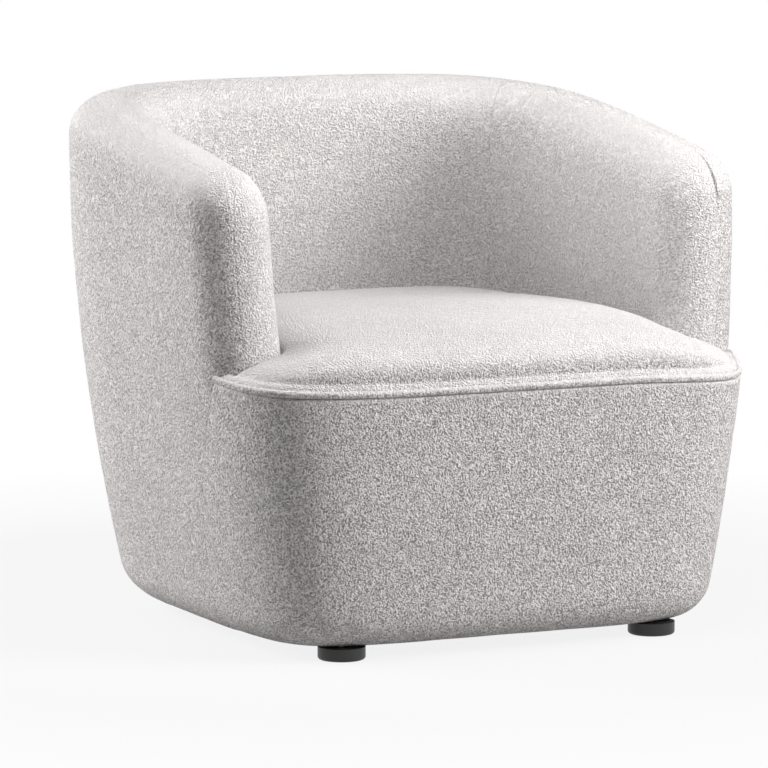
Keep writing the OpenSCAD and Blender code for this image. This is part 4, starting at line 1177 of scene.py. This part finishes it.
class TubChairSizes(bpy.types.PropertyGroup):
    mesh_step: length_property("Mesh Step", "Spacing of the upholstery's points",
                               0.006, 0.003, 0.02)
    seam_round: length_property("Seam Rounding", "Radius at which panel edges turn in",
                                0.0023, 0.001, 0.01)
    unevenness: length_property("Unevenness", "Slow waviness of the padded cloth",
                                0.0011, 0.0, 0.005)
    welt_radius: length_property("Welt Radius", "Radius of the covered cord", 0.0047, 0.002, 0.008)
    curl: length_property("Curl", "Size of the pile's curls", 0.0036, 0.002, 0.012)
    pile: length_property("Pile", "Height of the pile's relief", 0.0026, 0.0002, 0.01)
    staple_pitch: length_property("Staple Spacing", "Spacing of the dust cover's staples",
                                  0.032, 0.015, 0.08)


class TubChairColours(bpy.types.PropertyGroup):
    boucle_light: colour_property("Boucle Light", "Tops of the pile's loops", (0.88, 0.845, 0.835))
    # Painted shade: the colour that stands for the shade in the gaps between the loops
    boucle_gap_shade: colour_property("Boucle Dark", "Gaps between the loops", (0.33, 0.315, 0.31))
    foot_black: colour_property("Foot Black", "Moulded feet", (0.012, 0.012, 0.013))
    timber: colour_property("Timber", "Planed rails and posts", (0.58, 0.40, 0.21))
    plywood: colour_property("Plywood", "Sawn plywood", (0.66, 0.48, 0.27))
    board: colour_property("Board", "Pressed board", (0.26, 0.15, 0.07))
    felt: colour_property("Felt", "Pad over the springs", (0.15, 0.145, 0.14))
    dust_cloth: colour_property("Dust Cloth", "Cloth under the seat", (0.03, 0.029, 0.027))
    wire: colour_property("Wire", "Springs", (0.42, 0.42, 0.41))
    zinc: colour_property("Zinc", "Screws, clips and nuts", (0.55, 0.55, 0.5))


class TubChairStage(bpy.types.PropertyGroup):
    azimuth: FloatProperty(name="Azimuth", description="Camera's turn to the left of the front",
                           default=math.radians(25.31), subtype="ANGLE")
    elevation: FloatProperty(name="Elevation", description="Camera's height above level",
                             default=math.radians(7.29), subtype="ANGLE")
    distance: FloatProperty(name="Distance", description="From the camera to what it aims at",
                            default=7.4252, subtype="DISTANCE")
    lens: FloatProperty(name="Lens", description="Focal length", default=258.77,
                        subtype="DISTANCE_CAMERA")
    light: FloatProperty(name="Light", description="Strength of all the lamps", default=1.0,
                         min=0.0, max=4.0)


def boucle_finish():
    """The cloth's material, made once for all covers."""
    scene = bpy.context.scene
    return (bpy.data.materials.get("boucle cloth")
            or boucle(scene.tub_chair_colours, scene.tub_chair_sizes))


# The last argument lifts the painted shade of the cloth, for pieces inside the chair
def upholstered(name, shape, nodes, shade_lift=0.0):
    """A padded piece in the cloth, from its points and faces, that stands for some nodes."""
    dressed(mesh_object(name, *shape), boucle_finish(), nodes, shade_lift)


# ---------------------------------------------------------------- operators

SIDES = ((-1, "left"), (1, "right"))
# Share by which the cloth inside the chair gets the lighter painted shade of cloth that faces up
INSIDE_SHADE_LIFT = 0.25
# The welt's middle lies this far inside the front's outline and above the seat seam
WELT_D, WELT_ABOVE = 2.6, 4.8


class TUBCHAIR_OT_outer_panels(bpy.types.Operator):
    """Make the outer back and side panels, left and right"""
    bl_idname = "tub_chair.outer_panels"
    bl_label = "Outer Panels"

    def execute(self, context):
        size = context.scene.tub_chair_sizes
        for side, word in SIDES:
            upholstered(f"outer_panel_{word}", outer_panel(side, size), [f"outer_cover_{word}"])
        return {"FINISHED"}


class TUBCHAIR_OT_inside_panels(bpy.types.Operator):
    """Make the padded inside back and the two inside arms with their rim"""
    bl_idname = "tub_chair.inside_panels"
    bl_label = "Inside Panels"

    def execute(self, context):
        size = context.scene.tub_chair_sizes
        upholstered("inside_back_panel", inside_back_panel(size),
                    ["inside_back_cover", "back_padding"], shade_lift=INSIDE_SHADE_LIFT)
        for side, word in SIDES:
            nodes = [f"{part}_{word}" for part in ("inside_arm_cover", "arm_padding",
                                                   "arm_front_padding")]
            upholstered(f"inside_arm_panel_{word}", inside_arm_panel(side, size), nodes,
                        shade_lift=INSIDE_SHADE_LIFT)
        return {"FINISHED"}


class TUBCHAIR_OT_front_panel(bpy.types.Operator):
    """Make the front panel below the seat"""
    bl_idname = "tub_chair.front_panel"
    bl_label = "Front Panel"

    def execute(self, context):
        upholstered("front_panel", front_panel(context.scene.tub_chair_sizes),
                    ["front_cover", "front_padding"])
        return {"FINISHED"}


class TUBCHAIR_OT_seat_cushion(bpy.types.Operator):
    """Make the crowned seat cushion"""
    bl_idname = "tub_chair.seat_cushion"
    bl_label = "Seat Cushion"

    def execute(self, context):
        upholstered("seat_cushion", seat_cushion(context.scene.tub_chair_sizes),
                    ["seat_cover", "seat_foam"])
        return {"FINISHED"}


class TUBCHAIR_OT_seat_welt(bpy.types.Operator):
    """Make the covered cord along the seat's front seam"""
    bl_idname = "tub_chair.seat_welt"
    bl_label = "Seat Welt"

    def execute(self, context):
        size = context.scene.tub_chair_sizes
        path = path_object("seat welt path", settled(front_path(WELT_D, WELT_ABOVE)))
        made = welt_steps(boucle_finish()).made_on(path, "seat_cord", Radius=size.welt_radius)
        dressed(made, boucle_finish(), ["seat_welt"])
        return {"FINISHED"}


class TUBCHAIR_OT_staples(bpy.types.Operator):
    """Make the staples round the dust cover"""
    bl_idname = "tub_chair.staples"
    bl_label = "Staples"

    def execute(self, context):
        zinc = finish_for("zinc_steel")
        inset = BASE_EDGE_R + STAPLE_INSET
        x, y = outer_plan(np.linspace(0, 2, 240), inset, BASE_H)
        right = np.stack([x, y, np.zeros_like(x)], axis=-1)
        front = front_points(np.linspace(0, 1, 200), inset, BASE_H)
        loop = np.concatenate([right[::-1], flip_x(right)[1:], front[1:-1]])
        loop[:, 2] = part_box("dust_cover")[0][2] / MM - STAPLE_DROP
        made = staple_steps(zinc).made_on(path_object("staple path", loop, closed=True),
                                          "dust_cover_staples",
                                          Spacing=context.scene.tub_chair_sizes.staple_pitch)
        dressed(made, zinc)
        return {"FINISHED"}


# Each of the frame's finishes, with what makes it and the nodes that have it
FRAME_FINISHES = {
    "felt": (needled_felt, ["felt_pad"]),
    "fibreboard": (fibreboard, ["wall_board", "wall_liner", "front_board"]),
    "plywood": (plywood, ["top_rail", "rear_uprights", "side_uprights_left",
                          "side_uprights_right", "arm_facing_left", "arm_facing_right",
                          "base_ring"]),
    "solid_wood": (planed_timber, ["front_posts", "front_seat_rail", "rear_seat_rail",
                                   "side_seat_rail_left", "side_seat_rail_right",
                                   "corner_blocks"]),
    "steel_wire": (drawn_wire, ["seat_springs"]),
    "zinc_steel": (zinc_plate, ["spring_clips", "frame_screws", "foot_studs", "tee_nuts"]),
    "dust_cloth": (dust_cloth, ["dust_cover"]),
    "black_plastic": (moulded_plastic, ["foot_front_left", "foot_front_right", "foot_rear_left",
                                        "foot_rear_right"]),
}


def finish_for(slot):
    """The material of one of the frame's finishes, made when first asked for."""
    name = "frame " + slot
    made = bpy.data.materials.get(name)
    if made is None:
        made = FRAME_FINISHES[slot][0](bpy.context.scene.tub_chair_colours)
        made.name = name
    return made


class TUBCHAIR_OT_frame_finishes(bpy.types.Operator):
    """Give the frame, springs, hardware and feet their finishes"""
    bl_idname = "tub_chair.frame_finishes"
    bl_label = "Frame Finishes"

    def execute(self, context):
        for slot, (_, names) in FRAME_FINISHES.items():
            for name in names:
                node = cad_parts[name]
                if not node.material_slots:
                    node.data.materials.append(None)
                for place in node.material_slots:
                    place.material = finish_for(slot)
        return {"FINISHED"}


# What the camera and the lamps face, in metres
AIM, LAMP_AIM = Vector((-0.01485, -0.008, 0.3076)), Vector((0, 0, 0.35))
# Name, place in metres, side in metres and power in watts of each lamp
LAMPS = [("lamp_inside", (0.0, -0.5, 1.4), 0.6, 7),
         ("lamp_right_front", (2.1, -2.1, 1.8), 1.6, 111),
         ("lamp_left_rear", (-2.6, 1.4, 1.6), 1.6, 84),
         ("lamp_rear", (-1.66, 2.88, 1.06), 1.6, 44)]
# Half width and height of the floor in millimetres, and how pale it shows near the chair
FLOOR_HALF, FLOOR_Z, FLOOR_NEAR = 9000, -0.3, 0.86
# Strength of the surroundings as light; to the eye they are plain white
ROOM_LIGHT = 0.05


def area_lamp(name, place, size, power):
    """A soft square lamp that faces the chair."""
    lamp = bpy.data.lights.new(name, "AREA")
    lamp.shape, lamp.size, lamp.energy = "SQUARE", size, power
    obj = bpy.data.objects.new(name, lamp)
    obj.visible_camera = False
    bpy.context.scene.collection.objects.link(obj)
    obj.location = place
    obj.rotation_euler = (Vector(place) - LAMP_AIM).to_track_quat("Z", "Y").to_euler()


def seen_directly(nodes):
    """One for what the camera, a mirror or glass sees, else nought."""
    path = nodes.node("ShaderNodeLightPath").outputs
    a, b, c = (Value(nodes.tree, path[f"Is {k} Ray"]) for k in ("Camera", "Glossy", "Transmission"))
    return (a + b + c).clipped()


def make_floor():
    """Pale floor that keeps the chair's shadow and turns white further off."""
    corners = [(x * FLOOR_HALF, y * FLOOR_HALF, FLOOR_Z)
               for x, y in ((-1, -1), (1, -1), (1, 1), (-1, 1))]
    floor = mesh_object("floor", corners, [(0, 1, 2, 3)], smooth=False)
    finish = Finish("floor white", roughness=1.0)
    finish.set(Base_Color=(0.55, 0.55, 0.55, 1), Specular_IOR_Level=0.0)
    away = Value(finish.tree, finish.vector("LENGTH", finish.place, output="Value"))
    far = ((away - 0.8) * 1.6).clipped()
    lit = finish.node("ShaderNodeEmission", Color=(1, 1, 1, 1), Strength=1.0)
    pale = (far * (1 - FLOOR_NEAR) + FLOOR_NEAR) * seen_directly(finish)
    out = finish.node("ShaderNodeMixShader", i0=pale, i1=finish.shader.outputs[0],
                      i2=lit.outputs[0])
    surface = next(n for n in finish.tree.nodes if n.type == "OUTPUT_MATERIAL")
    finish.feed(surface.inputs["Surface"], out.outputs[0])
    floor.data.materials.append(finish.material)


def make_room(light):
    """Plain white surroundings that give little light of their own."""
    world = bpy.data.worlds.new("studio")
    world.use_nodes = True
    bpy.context.scene.world = world
    nodes = Nodes(world.node_tree)
    shown = seen_directly(nodes)
    back = next(n for n in nodes.tree.nodes if n.type == "BACKGROUND")
    back.inputs["Color"].default_value = (1, 1, 1, 1)
    nodes.feed(back.inputs["Strength"], shown * (1 - ROOM_LIGHT * light) + ROOM_LIGHT * light)


def make_camera(stage):
    """The camera at the photograph's viewing angle."""
    lens = bpy.data.cameras.new("camera")
    lens.lens, lens.sensor_width = stage.lens, 36.0
    lens.clip_start, lens.clip_end = 0.1, 60.0
    camera = bpy.data.objects.new("camera", lens)
    scene = bpy.context.scene
    scene.collection.objects.link(camera)
    a, e = stage.azimuth, stage.elevation
    back_way = Vector((-math.sin(a) * math.cos(e), -math.cos(a) * math.cos(e), math.sin(e)))
    camera.location = AIM + back_way * stage.distance
    camera.rotation_euler = back_way.to_track_quat("Z", "Y").to_euler()
    scene.camera = camera


class TUBCHAIR_OT_stage(bpy.types.Operator):
    """Make the pale floor, the soft lamps, the surroundings and the camera"""
    bl_idname = "tub_chair.stage"
    bl_label = "Stage"

    def execute(self, context):
        stage = context.scene.tub_chair_stage
        context.scene.view_settings.view_transform = "Standard"
        make_floor()
        make_room(stage.light)
        for name, place, size, power in LAMPS:
            area_lamp(name, place, size, power * stage.light)
        make_camera(stage)
        return {"FINISHED"}


class TUBCHAIR_PT_panel(bpy.types.Panel):
    """Sizes, colours and steps of the tub chair"""
    bl_idname = "TUBCHAIR_PT_panel"
    bl_label = "Tub Chair"
    bl_space_type = "VIEW_3D"
    bl_region_type = "UI"
    bl_category = "Tub Chair"

    def draw(self, context):
        for word in GROUPS:
            group = getattr(context.scene, "tub_chair_" + word)
            box = self.layout.box()
            box.label(text=word.title())
            for key in group.__annotations__:
                box.prop(group, key)
        for step in STEPS:
            self.layout.operator(step.bl_idname)


GROUPS = {"sizes": TubChairSizes, "colours": TubChairColours, "stage": TubChairStage}
STEPS = (TUBCHAIR_OT_outer_panels, TUBCHAIR_OT_inside_panels, TUBCHAIR_OT_front_panel,
         TUBCHAIR_OT_seat_cushion, TUBCHAIR_OT_seat_welt, TUBCHAIR_OT_staples,
         TUBCHAIR_OT_frame_finishes, TUBCHAIR_OT_stage)
CLASSES = (*GROUPS.values(), *STEPS, TUBCHAIR_PT_panel)


def register():
    """Adds the properties, operators and panel to Blender."""
    for made in CLASSES:
        bpy.utils.register_class(made)
    for word, group in GROUPS.items():
        setattr(bpy.types.Scene, "tub_chair_" + word, PointerProperty(type=group))


def unregister():
    """Takes them out again."""
    for word in GROUPS:
        delattr(bpy.types.Scene, "tub_chair_" + word)
    for made in reversed(CLASSES):
        bpy.utils.unregister_class(made)


def main():
    """Runs each step."""
    register()
    for step in STEPS:
        group, name = step.bl_idname.split(".")
        getattr(getattr(bpy.ops, group), name)()


if __name__ == "__main__":
    main()
